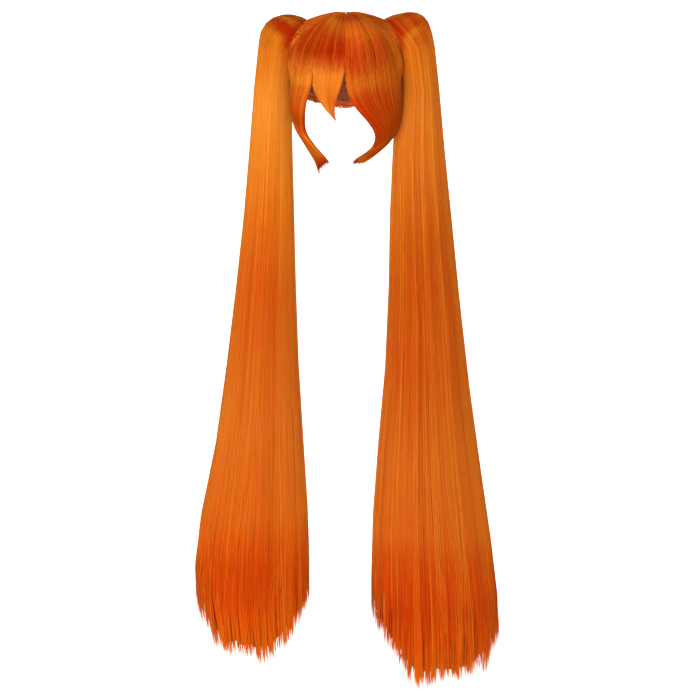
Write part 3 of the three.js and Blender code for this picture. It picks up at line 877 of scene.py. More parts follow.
@dataclass(kw_only=True)
class GatheredHair(HairPiece):
    """One side's hair on the cap, combed from parting, nape and temple to the tie.

    Attributes:
        side: 1 for the right, -1 for the left.
        corners: The edge that the hair is combed from.
        tie: Where it is tied.
        tie_spread: Angle from the tie's middle to its rim, in degrees.
        thick: Thickness on the head, in mm.
        flare: How far it stands off towards the tie, in mm.
        parting: Half of the gap at the parting, in mm.
        overlap: How far the strands' roots reach over the parting, in mm.
        stub_radius: Radius of the tied stub, in mm.
        stub_start: Where the stub begins, out from the head, in mm.
        stub_end: Where it ends, in mm.
        tuck: How far the strands start outside the edge, as a share of their way.
        stations: Points along a strand, up to the stub.
        core_columns: Points round the packed fibre.
        core_rows: Rings of it on each side.
    """

    strands: int = 520
    width: float = 2.2
    thickness: float = 0.6
    tone: float = 0.5
    side: int
    corners: tuple[EdgeCorner, ...]
    tie: EdgeCorner = EdgeCorner(102, 57)
    tie_spread: float = 17.0
    thick: float = 7.0
    flare: float = 14.0
    parting: float = 0.3
    overlap: float = 1.2
    stub_radius: float = 18.0
    stub_start: float = 25.0
    stub_end: float = 39.0
    tuck: float = 0.07
    stations: int = 14
    core_columns: int = 120
    core_rows: int = 14

    @property
    def tie_way(self) -> Array:
        """Direction of the tie from the middle of the form."""
        return HEAD.direction(np.array(self.side * self.tie.azimuth), np.array(self.tie.polar))

    def edge(self, share: Array) -> Array:
        """Finds directions along the closed edge.

        Args:
            share: Shares of its length.

        Returns:
            The directions, with the length 1.
        """
        ways = [HEAD.direction(np.array(self.side * c.azimuth), np.array(c.polar)) for c in self.corners]
        dense = []
        for first, second in zip(ways, ways[1:] + ways[:1]):
            dense.append(unit(mix(first[None], second[None], np.linspace(0, 1, 40)[:-1, None])))
        line = np.concatenate(dense + [ways[0][None]])
        travelled = np.concatenate(([0], np.cumsum(np.linalg.norm(np.diff(line, axis=0), axis=1))))
        at = np.mod(share, 1.0) * travelled[-1]
        return unit(np.stack([np.interp(at, travelled, line[:, i]) for i in range(3)], axis=-1))

    def over(self, edge: Array, share: Array, out: Array, aside: float | None = None) -> Array:
        """Places points between the edge and the tie.

        Args:
            edge: Directions of the edge.
            share: Share of the way to the tie's rim.
            out: Distance out from the form.
            aside: Distance from the middle of the head, in place of the parting's.

        Returns:
            The points, in mm.
        """
        place = self.tie_way
        angle = np.arccos(np.clip(edge @ place, -1, 1))
        turn = (share * (1 - math.radians(self.tie_spread) / angle)) * angle
        onward = unit(place - edge * np.cos(angle)[..., None])
        ways = edge * np.cos(turn)[..., None] + onward * np.sin(turn)[..., None]
        points = HEAD.over(ways, out)
        points[..., 0] += self.side * (self.parting if aside is None else aside)
        return points

    def stub(self, edge: Array, along: Array, radius: Array) -> Array:
        """Places points on the tied stub, which stands out of the head along the tie's axis.

        Args:
            edge: Directions of the edge that the strands come from.
            along: Distance out along the axis, in mm.
            radius: Distance from the axis, in mm.

        Returns:
            The points, in mm.
        """
        centre = HEAD.over(self.tie_way, HEAD.cap_wall + self.thick / 2)
        axis = unit(self.tie_way / HEAD.size)
        spoke = self.over(edge, np.ones(edge.shape[:-1]), self.thick) - centre
        spoke = unit(spoke - (spoke @ axis)[..., None] * axis)
        return centre + axis * np.asarray(along)[..., None] + spoke * np.asarray(radius)[..., None]

    def core(self, chance: np.random.Generator) -> Core:
        """Lays the packed fibre inside the gathered hair, from the stub over the outside and back inside.

        Args:
            chance: The random generator.

        Returns:
            The packed fibre.
        """
        edge = self.edge(np.arange(self.core_columns) / self.core_columns)
        full = np.ones(self.core_columns)
        shares = np.linspace(0, 1, self.core_rows)
        ridge = 0.4 * np.cos(np.arange(self.core_columns) * math.pi)
        bound = self.stub_radius - 1
        stub = ((self.stub_end, bound - 3), (self.stub_end - 3, bound), (self.stub_start, bound))
        rings = [self.stub(edge, full * out, full * radius) for out, radius in stub]
        outer = HEAD.inside + 0.8 * self.thick
        rings += [self.over(edge, full * s, outer + ridge + self.flare * s**2) for s in shares[::-1]]
        rings += [self.over(edge, full * s, HEAD.inside + 0.05 * full) for s in shares]
        rings.append(mix(HEAD.over(self.tie_way, HEAD.inside), rings[-1], 0.05))
        along = np.concatenate(([1, 1, 1], shares[::-1], shares, [1]))
        along = np.broadcast_to(along[:, None], (len(rings), self.core_columns))
        return Core(np.stack(rings), along, chance.normal(0.4, 0.1, self.core_columns))

    def bundles(self, chance: np.random.Generator) -> list[Strands]:
        """Lays the strands on the gathered hair, from its edge to the end of the stub.

        Args:
            chance: The random generator.

        Returns:
            One bundle.
        """
        count = self.strands
        foot = (np.arange(count) + chance.uniform(0, 1, count)) / count
        edge = self.edge(foot)
        edge = unit(edge + chance.normal(0, 0.012, edge.shape))
        depth = chance.uniform(0.75, 1.06, count)
        tint = np.clip(self.tone + chance.normal(0, 0.1, count), 0, 1)
        shares = np.linspace(-self.tuck, 1, self.stations)
        full = np.ones(count)
        rows = []
        for share in shares:
            lift = self.thick * depth * mix(0.25, 1.0, ease(-self.tuck, 0.22, share))
            flare = self.flare * max(share, 0.0) ** 2
            aside = mix(-self.overlap, self.parting, float(ease(0.0, 0.2, share)))
            rows.append(self.over(edge, full * share, HEAD.inside + lift + flare, aside))
        bound = self.stub_radius * mix(0.85, 1.0, depth)
        rows += [self.stub(edge, full * a, bound) for a in (self.stub_start, self.stub_end)]
        points = np.stack(rows, axis=1)
        lie = HEAD.facing(points)
        centre = self.stub(edge, full * self.stub_start, full * 0)
        lie[:, -2:] = unit(points[:, -2:] - centre[:, None])
        along = np.concatenate((np.linspace(0, 0.85, self.stations), [0.93, 1.0]))
        girth = mix(0.4, 1.0, ease(0, 0.1, along)) * mix(1.0, 0.6, ease(0.6, 1.0, along))
        shape = (count, len(along))
        return [Strands(points, lie, np.broadcast_to(girth, shape), np.broadcast_to(along, shape), tint)]


@dataclass(frozen=True)
class TailSection:
    """A level section of a tail: its height, its inner and outer edge, and its middle and half depth."""

    z: float
    inner: float
    outer: float
    middle_y: float
    half_depth: float


@dataclass(frozen=True)
class CutEnd:
    """The height of a tail's end, at a share from its inner to its outer edge."""

    share: float
    z: float


@dataclass(kw_only=True)
class Tail(HairPiece):
    """One long tail: a dome over the tie, a straight fall of strands and uneven ends.

    Attributes:
        side: 1 for the right, -1 for the left.
        sections: The tail's table, from the dome down.
        ends: The table of its cut ends.
        clumps: Groups that the strands lie in.
        lobes: Tufts that the cut ends form.
        whorl: Where the strands spring from, as a share of the dome towards the head.
        dome_radii: Shares of the dome's radius at its top and at its sections, the last of which is its rim.
        dome_rows: Points of a strand on the dome.
        level: Height below which the tail faces level, in mm.
        dome_height: Height of the dome above that, in mm.
        falls: Shares of the way from the rim to the end, for a strand's points.
        wisps: How many thin strands are at the ends.
        wisp_rows: Points of such a strand.
        back_cut: How much higher the ends are at the back, in mm.
        core_columns: Points round the packed fibre.
        core_dome: Shares of the dome's radius at the rings of the packed fibre.
        core_close: Shares of the tail's radius at the rings that close it below.
        core_short: How far it ends above the strands, in mm.
    """

    strands: int = 1350
    width: float = 2.2
    thickness: float = 0.35
    tone: float = 0.52
    side: int
    sections: tuple[TailSection, ...]
    ends: tuple[CutEnd, ...]
    clumps: int = 46
    lobes: int = 17
    whorl: float = 0.42
    dome_radii: tuple[float, ...] = (0.0, 0.13, 0.31, 0.44, 0.63, 1.0)
    dome_rows: int = 9
    level: float = -30.0
    dome_height: float = 33.0
    falls: tuple[float, ...] = (0.06, 0.15, 0.27, 0.4, 0.54, 0.68, 0.81, 0.91, 0.97, 1.0)
    wisps: int = 800
    wisp_rows: int = 7
    back_cut: float = 14.0
    core_columns: int = 96
    core_dome: tuple[float, ...] = (0.03, 0.08, 0.15, 0.25, 0.37, 0.5, 0.65, 0.82, 1.0)
    core_close: tuple[float, ...] = (0.7, 0.45, 0.2)
    core_short: float = 22.0

    def read(self, column: str, z: Array) -> Array:
        """One column of the table at these heights."""
        return smooth([s.z for s in self.sections], [getattr(s, column) for s in self.sections], z)

    def point(self, angle: Array, z: Array, reach: Array | float, out: Array | float) -> Array:
        """Places points of the tail.

        Args:
            angle: Angle round the section, 0 at the outer edge, in radians.
            z: Height.
            reach: Share of the way from the middle to the surface.
            out: Distance out from there, in mm.

        Returns:
            The points, in mm.
        """
        inner, outer = self.read("inner", z), self.read("outer", z)
        half = (outer - inner) / 2 * reach + out
        deep = self.read("half_depth", z) * reach + out
        x = self.side * ((inner + outer) / 2 + half * np.cos(angle))
        y = self.read("middle_y", z) + deep * np.sin(angle)
        return np.stack(np.broadcast_arrays(x, y, z), axis=-1)

    def facing(self, points: Array) -> Array:
        """Finds the way out of the tail.

        Args:
            points: Places on the tail, in mm.

        Returns:
            A direction for each, with the length 1.
        """
        z = np.minimum(points[..., 2], self.level)
        middle = (self.read("inner", z) + self.read("outer", z)) / 2
        half = (self.read("outer", z) - self.read("inner", z)) / 2
        x = (points[..., 0] - self.side * middle) / half**2
        y = (points[..., 1] - self.read("middle_y", z)) / self.read("half_depth", z) ** 2
        up = np.maximum(points[..., 2] - self.level, 0.0) / self.dome_height**2
        return unit(np.stack((x, y, up), axis=-1))

    @property
    def crest(self) -> float:
        """Height of the dome's top."""
        return self.sections[0].z + 1.0

    @property
    def rim(self) -> float:
        """Height of the dome's rim."""
        return self.sections[len(self.dome_radii) - 2].z

    @property
    def lowest(self) -> float:
        """Height of the longest end."""
        return min(end.z for end in self.ends)

    def end(self, angle: Array, reach: Array | float = 1.0) -> Array:
        """Finds the height of the cut end, in uneven tufts and a little higher at the back.

        Args:
            angle: Angles round the tail.
            reach: Shares of the way from its middle to its surface.

        Returns:
            The heights, in mm.
        """
        cut = smooth([e.share for e in self.ends], [e.z for e in self.ends], (1 + reach * np.cos(angle)) / 2)
        places = np.linspace(0, 2 * math.pi, self.lobes + 1)
        tufts = np.random.default_rng(self.seed + 100).uniform(-6, 14, self.lobes)
        tuft = np.interp(np.mod(angle, 2 * math.pi), places, np.append(tufts, tufts[0]))
        return np.maximum(cut + tuft + self.back_cut * reach * np.maximum(np.sin(angle), 0), self.lowest - 2)

    def dome(self, angle: Array, share: Array, whorl: float, out: Array) -> Array:
        """Places points on the dome, on the way from the whorl to its rim.

        Args:
            angle: Angle at the rim.
            share: Share of the way to the rim.
            whorl: Where the way starts, as a share of the dome towards the head.
            out: Distance out from the surface, in mm.

        Returns:
            The points, in mm.
        """
        x = -whorl + share * (np.cos(angle) + whorl)
        y = share * np.sin(angle)
        radius, turn = np.hypot(x, y), np.arctan2(y, x)
        profile = [self.crest] + [s.z for s in self.sections[: len(self.dome_radii) - 1]]
        reach = np.minimum(radius / self.dome_radii[1], 1.0)
        return self.point(turn, smooth(self.dome_radii, profile, radius), reach, out)

    def core(self, chance: np.random.Generator) -> Core:
        """Lays the packed fibre inside the tail, from the top of the dome to its closed end.

        Args:
            chance: The random generator.

        Returns:
            The packed fibre.
        """
        angle = np.linspace(0, 2 * math.pi, self.core_columns, endpoint=False)
        flute = -0.6 - 0.4 * (np.arange(self.core_columns) % 2)
        rows = [self.dome(angle, share, 0.0, flute * share) for share in self.core_dome]
        short = self.core_short + chance.uniform(0, 12, self.core_columns)
        for share in np.append(np.linspace(0, 0.96, 28)[1:], (0.98, 1.0)):
            z = mix(self.rim, self.end(angle) + short, share)
            rows.append(self.point(angle, z, 1 - 0.12 * ease(0.9, 1.0, share), flute))
        for reach in self.core_close:
            rows.append(self.point(angle, self.end(angle, reach) + short, reach, flute))
        rings = np.stack(rows)
        return Core(rings, self._along(rings), chance.normal(0.45, 0.07, self.core_columns))

    def bundles(self, chance: np.random.Generator) -> list[Strands]:
        """The strands on the tail: the long ones, and short wisps at the ends."""
        return [self._fall(chance), self._wisps(chance)]

    def _round(self, chance: np.random.Generator, count: int) -> tuple[Array, Array, Array, Array]:
        """Places strands round the tail in clumps of uneven width.

        Args:
            chance: The random generator.
            count: How many strands.

        Returns:
            Angle of each strand, the angle of its clump, the clump's number and the strand's tint.
        """
        share = (np.arange(count) + chance.uniform(0, 1, count)) / count
        edges = np.arange(self.clumps + 1) + chance.uniform(-0.45, 0.45, self.clumps + 1)
        edges = np.clip(edges / self.clumps, 0, 1)
        clump = np.searchsorted(edges[1:-1], share)
        middle = (edges[clump] + edges[clump + 1]) / 2
        tint = self.tone + chance.normal(0, 0.09, self.clumps)[clump] + chance.normal(0, 0.13, count)
        return 2 * math.pi * share, 2 * math.pi * middle, clump, np.clip(tint, 0, 1)

    def _along(self, points: Array) -> Array:
        """Share of the tail's length at these points."""
        return np.clip((self.crest - points[..., 2]) / (self.crest - self.lowest), 0, 1)

    def _fall(self, chance: np.random.Generator) -> Strands:
        """Lays the long strands, from the whorl over the dome down to the ends.

        Args:
            chance: The random generator.

        Returns:
            The long strands.
        """
        count = self.strands
        angle, middle, clump, tint = self._round(chance, count)
        loose = chance.uniform(-0.5, 0.5, count)
        uneven = chance.normal(0, 5, self.clumps)[clump] + chance.normal(0, 3, count)
        uneven = uneven + chance.exponential(9, count)
        end = np.maximum(self.end(angle) + uneven, self.lowest - 3)
        deep = chance.uniform(0, 1, count) ** 2
        drawn = chance.uniform(0, 2, self.clumps)[clump]
        sway = chance.normal(0, 0.02, count)
        bends = chance.uniform(0.5, 1.4, count)
        phase = chance.uniform(0, 1, count)
        splay = chance.normal(0, 0.02, count) + chance.normal(0, 0.03, self.clumps)[clump]
        dome = [self.dome(angle, s, self.whorl, loose * s) for s in np.linspace(0.02, 1, self.dome_rows)]
        fall = []
        for share in self.falls:
            pull = 0.1 * ease(0.1, 0.5, share) + 0.14 * ease(0.86, 1.0, share)
            turn = mix(angle, middle, drawn * pull) + splay * ease(0.8, 1.0, share)
            turn = turn + sway * ease(0, 0.3, share) * np.sin(2 * math.pi * (bends * share + phase))
            reach = 1 - 0.16 * deep * ease(0.88, 1.0, share)
            fall.append(self.point(turn, mix(self.rim, end, share), reach, loose * (1 + share)))
        points = np.stack(dome + fall, axis=1)
        along = self._along(points)
        fade = 0.07 * np.sin(2 * math.pi * (2 * bends[:, None] * along + phase[:, None]))
        share = np.linspace(0, 1, points.shape[1])
        girth = mix(0.4, 0.75, ease(0, 0.3, share)) * mix(1.0, 1.5, ease(0.35, 0.9, share))
        girth[-2:] *= (0.65, 0.08)
        girth = np.broadcast_to(girth, along.shape)
        return Strands(points, self.facing(points), girth, along, np.clip(tint[:, None] + fade, 0, 1))

    def _wisps(self, chance: np.random.Generator) -> Strands:
        """Lays thin strands at the ends, which leave the surface, fill the inside and hang a little longer.

        Args:
            chance: The random generator.

        Returns:
            The thin strands.
        """
        count = self.wisps
        angle, middle, _, tint = self._round(chance, count)
        inside = np.sqrt(chance.uniform(0, 1, count))
        end = np.maximum(self.end(angle, inside) + chance.normal(5, 6, count), self.lowest - 5)
        start = end + chance.uniform(120, 260, count)
        splay = chance.normal(0, 0.05, count)
        rows = []
        for share in np.linspace(0, 1, self.wisp_rows):
            apart = ease(0.2, 1.0, share)
            turn = mix(angle, middle, 0.5 * apart) + splay * apart
            reach = mix(0.99, inside, ease(0.1, 0.8, share))
            rows.append(self.point(turn, mix(start, end, share), reach, 0.0))
        points = np.stack(rows, axis=1)
        along = self._along(points)
        share = np.linspace(0, 1, self.wisp_rows)
        girth = 0.8 * mix(0.3, 1.0, ease(0, 0.3, share)) * mix(1.0, 0.1, ease(0.7, 1.0, share))
        return Strands(points, self.facing(points), np.broadcast_to(girth, along.shape), along, tint)


# The cap and the clips


@dataclass(frozen=True)
class NetFinish:
    """Knitted nylon net: an open diamond mesh that shows as fine crossing threads, dull and soft.

    Attributes:
        name: The material's name.
        thread: Colour of the threads.
        hole: Colour between them.
        mesh: Distance between threads, in mm, twice the real one to show.
        roughness: Spread of the gloss.
        fuzz: How much the threads' loose fibres show.
    """

    name: str = "knitted nylon net"
    thread: str = "#A8501C"
    hole: str = "#5A2408"
    mesh: float = 2.4
    roughness: float = 0.85
    fuzz: float = 0.3

    def material(self) -> bpy.types.Material:
        """Builds the material.

        Returns:
            The net, drawn on the UV map in mm.
        """
        material, tree, shader = begin(self.name)
        uv = add(tree, "ShaderNodeUVMap", uv_map=STRAND_UV).outputs["UV"]
        waves = []
        for turn in (45, -45):
            spin = {"Rotation": (0.0, 0.0, math.radians(turn))}
            laid = add(tree, "ShaderNodeMapping", spin, {"Vector": uv})
            scale = {"Scale": 2 * math.pi / (20 * self.mesh), "Distortion": 0.4, "Detail": 1.0}
            wave = add(tree, "ShaderNodeTexWave", scale, {"Vector": laid.outputs["Vector"]})
            waves.append(wave.outputs["Fac"])
        threads = add(tree, "ShaderNodeMath", {}, {0: waves[0], 1: waves[1]}, operation="MAXIMUM").outputs[0]
        sharp = {"From Min": 0.45, "From Max": 0.85}
        lines = add(tree, "ShaderNodeMapRange", sharp, {"Value": threads}).outputs["Result"]
        pair = {6: linear(self.hole), 7: linear(self.thread)}
        colour = add(tree, "ShaderNodeMix", pair, {0: lines}, data_type="RGBA")
        bump = add(tree, "ShaderNodeBump", {"Strength": 0.8, "Distance": 0.4 * MM}, {"Height": lines})
        tree.links.new(colour.outputs[2], shader.inputs["Base Color"])
        tree.links.new(bump.outputs["Normal"], shader.inputs["Normal"])
        shader.inputs["Roughness"].default_value = self.roughness
        shader.inputs["Sheen Weight"].default_value = self.fuzz
        return material


@dataclass(frozen=True)
class PlasticFinish:
    """Injection-moulded nylon: a satin skin with a fine even grain.

    Attributes:
        name: The material's name.
        colour: Colour of the plastic.
        worn: Colour where it is rubbed.
        grain: Size of the grain, in mm.
        patch: Size of the rubbed patches, in mm.
        roughness: Spread of the gloss.
    """

    name: str = "moulded satin nylon"
    colour: str = "#2B2320"
    worn: str = "#3A302B"
    grain: float = 0.8
    patch: float = 12.0
    roughness: float = 0.42

    def material(self) -> bpy.types.Material:
        """Builds the material.

        Returns:
            The plastic, drawn on Object coordinates.
        """
        material, tree, shader = begin(self.name)
        place = add(tree, "ShaderNodeTexCoord").outputs["Object"]
        fine = {"Scale": 1 / (self.grain * MM), "Detail": 2.0}
        grain = add(tree, "ShaderNodeTexNoise", fine, {"Vector": place}).outputs["Fac"]
        broad = {"Scale": 1 / (self.patch * MM), "Detail": 3.0}
        wear = add(tree, "ShaderNodeTexNoise", broad, {"Vector": place}).outputs["Fac"]
        pair = {6: linear(self.colour), 7: linear(self.worn)}
        colour = add(tree, "ShaderNodeMix", pair, {0: wear}, data_type="RGBA")
        spread = {"To Min": self.roughness - 0.06, "To Max": self.roughness + 0.08}
        rough = add(tree, "ShaderNodeMapRange", spread, {"Value": wear}).outputs["Result"]
        bump = add(tree, "ShaderNodeBump", {"Strength": 0.2, "Distance": 0.1 * MM}, {"Height": grain})
        tree.links.new(colour.outputs[2], shader.inputs["Base Color"])
        tree.links.new(rough, shader.inputs["Roughness"])
        tree.links.new(bump.outputs["Normal"], shader.inputs["Normal"])
        return material


@dataclass
class Cap:
    """The net cap: a thin shell with sewn rows of weft inside and a soft band round its edge. Sizes in mm.

    Attributes:
        node: The solid that it stands for.
        edge: The cap's edge, as pairs of azimuth and polar angle in degrees.
        columns: Points round the shell.
        rows: Rings on each side of it.
        length: Length of the net from crown to edge, for its pattern.
        lining: Where the inside of the net is, out from the form.
        pitch: Angle between the weft rows, in degrees.
        seam: Width and thickness of a weft row.
        sewn: Where the middle of a weft row is, out from the form.
        hem: How far the band stands in from the edge, in degrees.
    """

    node: str = "cap"
    edge: tuple[tuple[float, float], ...] = ((0, 66), (45, 70), (76, 93), (110, 102), (150, 114), (180, 118))
    columns: int = 144
    rows: int = 30
    length: float = 170.0
    lining: float = 0.4
    pitch: float = 9.0
    seam: tuple[float, float] = (3.2, 1.2)
    sewn: float = 0.3
    hem: float = 2.6

    @property
    def azimuths(self) -> Array:
        """Azimuths of the points round the shell."""
        return np.linspace(0, 360, self.columns, endpoint=False)

    def polar(self, azimuth: Array) -> Array:
        """Polar angle of the cap's edge at these azimuths."""
        around = np.abs((np.asarray(azimuth, float) + 180) % 360 - 180)
        return smooth([row[0] for row in self.edge], [row[1] for row in self.edge], around)

    def shell(self) -> Core:
        """Lays the net shell, from the crown over the outside to the edge and back inside.

        Returns:
            The shell.
        """
        azimuth = self.azimuths
        edge = self.polar(azimuth)
        shares = np.linspace(0.01, 1, self.rows)
        outer = [HEAD.over(HEAD.direction(azimuth, edge * s), HEAD.cap_wall) for s in shares]
        inner = [HEAD.over(HEAD.direction(azimuth, edge * s), self.lining) for s in shares[::-1]]
        along = np.concatenate((shares, shares[::-1]))[:, None] * np.ones(self.columns)
        weave = (2 * math.pi * HEAD.half_depth / self.columns, self.length)
        return Core(np.stack(outer + inner), along, np.zeros(self.columns), weave)

    def _line(self, azimuth: Array, polar: Array, closed: bool) -> Strands:
        """Lays a row of weft or band inside the shell.

        Args:
            azimuth: Angles round the form at its points.
            polar: Angles down from the crown there.
            closed: Whether it runs back to its start.

        Returns:
            A bundle of one line.
        """
        points = HEAD.over(HEAD.direction(azimuth, polar), self.sewn)[None]
        full = np.ones((1, len(azimuth)))
        along = np.linspace(0, 40, len(azimuth))[None]
        return Strands(points, -HEAD.facing(points), full, along, np.zeros(1), closed)

    def wefts(self) -> list[Strands]:
        """Lays the sewn rows, each as long as the cap is at that height.

        Returns:
            A bundle for each row.
        """
        lines = []
        azimuth = self.azimuths
        for polar in np.arange(self.pitch, max(row[1] for row in self.edge) - self.hem, self.pitch):
            inside = self.polar(azimuth) - 2 * self.hem > polar
            if inside.all():
                lines.append(self._line(azimuth, np.full(self.columns, polar), True))
            elif inside.sum() > 6:
                lines.append(self._line(azimuth[inside], np.full(inside.sum(), polar), False))
        return lines

    def band(self) -> list[Strands]:
        """The soft band round the edge."""
        return [self._line(self.azimuths, self.polar(self.azimuths) - self.hem, True)]

    def build(self, sweep: StrandSweep) -> bpy.types.Object:
        """Makes the cap and ties it to the frame.

        Args:
            sweep: The tree that sweeps the sewn rows.

        Returns:
            The finished piece.
        """
        net = NetFinish().material()
        shell = self.shell().build("cap_shell")
        bands = self.wefts() + self.band()
        piece = sweep.run("cap_net", bands, shell, self.seam, net, sides=6)
        attach(piece, "cap_net", self.node)
        return piece


def dress_clips() -> None:
    """Gives the two tail clips their plastic."""
    plastic = PlasticFinish().material()
    for node in ("tail_clip_left", "tail_clip_right"):
        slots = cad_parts[node].material_slots
        for slot in slots:
            slot.material = plastic
        LOG.info("%s: %d material slots", node, len(slots))


# The studio


@dataclass(frozen=True)
class SoftLight:
    """A soft box: its place, what it points at, its size in metres and its power in watts."""

    name: str
    place: tuple[float, float, float]
    aim: tuple[float, float, float]
    size: tuple[float, float]
    power: float


@dataclass
class Studio:
    """A round white bowl of paper, soft boxes and the camera. Sizes in metres.

    Attributes:
        floor: Height of the floor.
        middle: Radius of the floor's middle face.
        flat: Radius of the flat floor.
        curve: Radius of the bend between floor and wall.
        top: Height of the wall's edge.
        sides: Points round the bowl.
        glow: Light that the paper lets through at the back.
        front: Share of that light in front.
        ambient: Strength of the even light in the room.
        lights: The soft boxes.
        lens: Focal length of the camera, in mm.
        sensor: Width of its sensor, in mm.
        eye: Its place.
        tilt: Angle of its view, up from straight down, in degrees.
    """

    floor: float = -1.3
    middle: float = 0.5
    flat: float = 2.6
    curve: float = 1.0
    top: float = 1.1
    sides: int = 72
    glow: float = 0.8
    front: float = 0.2
    ambient: float = 0.1
    lights: tuple[SoftLight, ...] = (
        SoftLight("near box", (-0.15, -1.3, -0.05), (0.0, 0.0, -0.3), (0.6, 0.9), 12.5),
        SoftLight("far box", (-1.1, -2.7, -0.1), (0.0, 0.0, -0.3), (1.4, 1.4), 71.0),
        SoftLight("top box", (0.35, 0.25, 1.4), (0.0, 0.0, -0.1), (1.2, 0.8), 15.0),
        SoftLight("rim box", (1.3, 1.0, -0.4), (0.0, 0.0, -0.5), (0.8, 1.2), 18.0),
    )
    lens: float = 78.9
    sensor: float = 36.0
    eye: tuple[float, float, float] = (0.0065, -2.486, 0.2075)
    tilt: float = 73.0

    def build(self) -> None:
        """Sets up the backdrop, the lights, the world and the camera."""
        self._backdrop()
        for light in self.lights:
            self._light(light)
        self._world()
        self._camera()

    def _backdrop(self) -> None:
        """Makes the bowl, a floor that curves up into a wall all round."""
        turn = np.linspace(0, math.pi / 2, 13)
        bend = self.flat + self.curve * np.sin(turn)
        radius = np.concatenate(([self.middle], bend, [self.flat + self.curve]))
        rise = np.concatenate(([0.0], self.curve * (1 - np.cos(turn)), [self.top - self.floor]))
        angle = np.linspace(0, 2 * math.pi, self.sides, endpoint=False)
        x, y = radius[:, None] * np.cos(angle), radius[:, None] * np.sin(angle)
        z = np.broadcast_to((rise + self.floor)[:, None], x.shape)
        ids = np.arange(x.size).reshape(x.shape)
        after = np.roll(ids, -1, axis=1)
        faces = np.stack((ids[:-1], ids[1:], after[1:], after[:-1]), axis=-1).reshape(-1, 4).tolist()
        mesh = bpy.data.meshes.new("paper_bowl")
        mesh.from_pydata(np.stack((x, y, z), axis=-1).reshape(-1, 3).tolist(), [], faces + [ids[0].tolist()])
        mesh.polygons.foreach_set("use_smooth", [True] * len(mesh.polygons))
        mesh.materials.append(self._paper())
        bowl = put("paper_bowl", mesh)

    def _paper(self) -> bpy.types.Material:
        """Builds matt white paper, lit from behind towards the back so that it stays white there.

        Returns:
            The backdrop's material.
        """
        paper, tree, shader = begin("matt white paper")
        place = add(tree, "ShaderNodeTexCoord").outputs["Object"]
        back = add(tree, "ShaderNodeSeparateXYZ", {}, {0: place}).outputs["Y"]
        spread = {"From Min": -0.9, "From Max": 0.1, "To Min": self.front * self.glow, "To Max": self.glow}
        lit = add(tree, "ShaderNodeMapRange", spread, {"Value": back}, interpolation_type="SMOOTHSTEP")
        tree.links.new(lit.outputs["Result"], shader.inputs["Emission Strength"])
        shader.inputs["Base Color"].default_value = linear("#E8E8E8")
        shader.inputs["Roughness"].default_value = 0.9
        shader.inputs["Emission Color"].default_value = linear("#FFFFFF")
        return paper

    @staticmethod
    def _light(light: SoftLight) -> None:
        """Sets up one soft box, which the camera doesn't see.

        Args:
            light: The soft box.
        """
        data = bpy.data.lights.new(light.name, "AREA")
        data.shape = "RECTANGLE"
        data.size, data.size_y = light.size
        data.energy = light.power
        lamp = put(light.name, data)
        lamp.location = light.place
        lamp.visible_camera = False
        way = np.array(light.aim) - np.array(light.place)
        tilt = math.atan2(math.hypot(way[0], way[1]), -way[2])
        lamp.rotation_euler = (tilt, 0.0, math.atan2(-way[0], way[1]))

    def _world(self) -> None:
        """Fills the room with even white light, and shows colours as they are."""
        world = bpy.data.worlds.new("white room")
        world.use_nodes = True
        inputs = world.node_tree.nodes["Background"].inputs
        inputs["Color"].default_value = linear("#FFFFFF")
        inputs["Strength"].default_value = self.ambient
        bpy.context.scene.world = world
        bpy.context.scene.view_settings.view_transform = "Standard"

    def _camera(self) -> None:
        """Puts the camera at the photograph's viewing angle."""
        data = bpy.data.cameras.new("camera")
        data.lens = self.lens
        data.sensor_width = self.sensor
        data.clip_end = 50.0
        camera = put("camera", data)
        camera.location = self.eye
        camera.rotation_euler = (math.radians(self.tilt), 0.0, 0.0)
        bpy.context.scene.camera = camera


# Tables of the pieces

# Along the front hair, the deep red near 0.21 is painted shade in the crown's dim band, the lighter colour
# from 0.33 to 0.6 a painted highlight where the fringe's gloss falls, and the deep red from 0.72 on painted
# shade where the locks turn under.
FRONT_FIBRE = FibreFinish(
    "modacrylic fibre, front",
    (
        (0.0, "#B03E0C"), (0.1, "#A42E08"), (0.21, "#921400"), (0.33, "#AD4A17"), (0.5, "#9E3C10"),
        (0.6, "#A8380A"), (0.72, "#980E00"), (0.85, "#840400"), (0.95, "#720200"),
    ),
    shine=0.053,
    thin=0.05,
)
# The left lock turns deep red sooner than the fringe, darkest near 0.63: painted shade where its lower part
# turns away from the lights.
LEFT_FIBRE = replace(
    FRONT_FIBRE,
    name="modacrylic fibre, left lock",
    stops=FRONT_FIBRE.stops[:5] + (
        (0.56, "#A02E08"), (0.63, "#800000"), (0.69, "#8A0400"), (0.76, "#900800"), (0.85, "#840400"),
        (0.95, "#720200"),
    ),
)
# A darker copy of the front fibre, with less gloss, for the right lock, which the lights at the left leave
# dim: painted shade; its lighter 0.1 stop is a painted highlight where the crown's gloss band falls.
PAINTED_SHADE_FRONT_FIBRE = FibreFinish(
    "modacrylic fibre, shaded front",
    (
        (0.0, "#A63008"), (0.1, "#C64E14"), (0.21, "#AE3C0C"), (0.33, "#A02C0A"), (0.55, "#961602"),
        (0.7, "#860000"), (0.95, "#760000"),
    ),
    light="#A85010",
    dark="#6A0A00",
    shine=0.048,
    thin=0.05,
)
# Lighter than the fibre of the locks: painted light that makes up for the shade in the valleys between the
# tails and the crown.
SIDE_FIBRE = FibreFinish(
    "modacrylic fibre, gathered",
    ((0.0, "#BE4410"), (0.4, "#BC4810"), (0.75, "#C04A12"), (1.0, "#BE4A12")),
    shine=0.055,
)
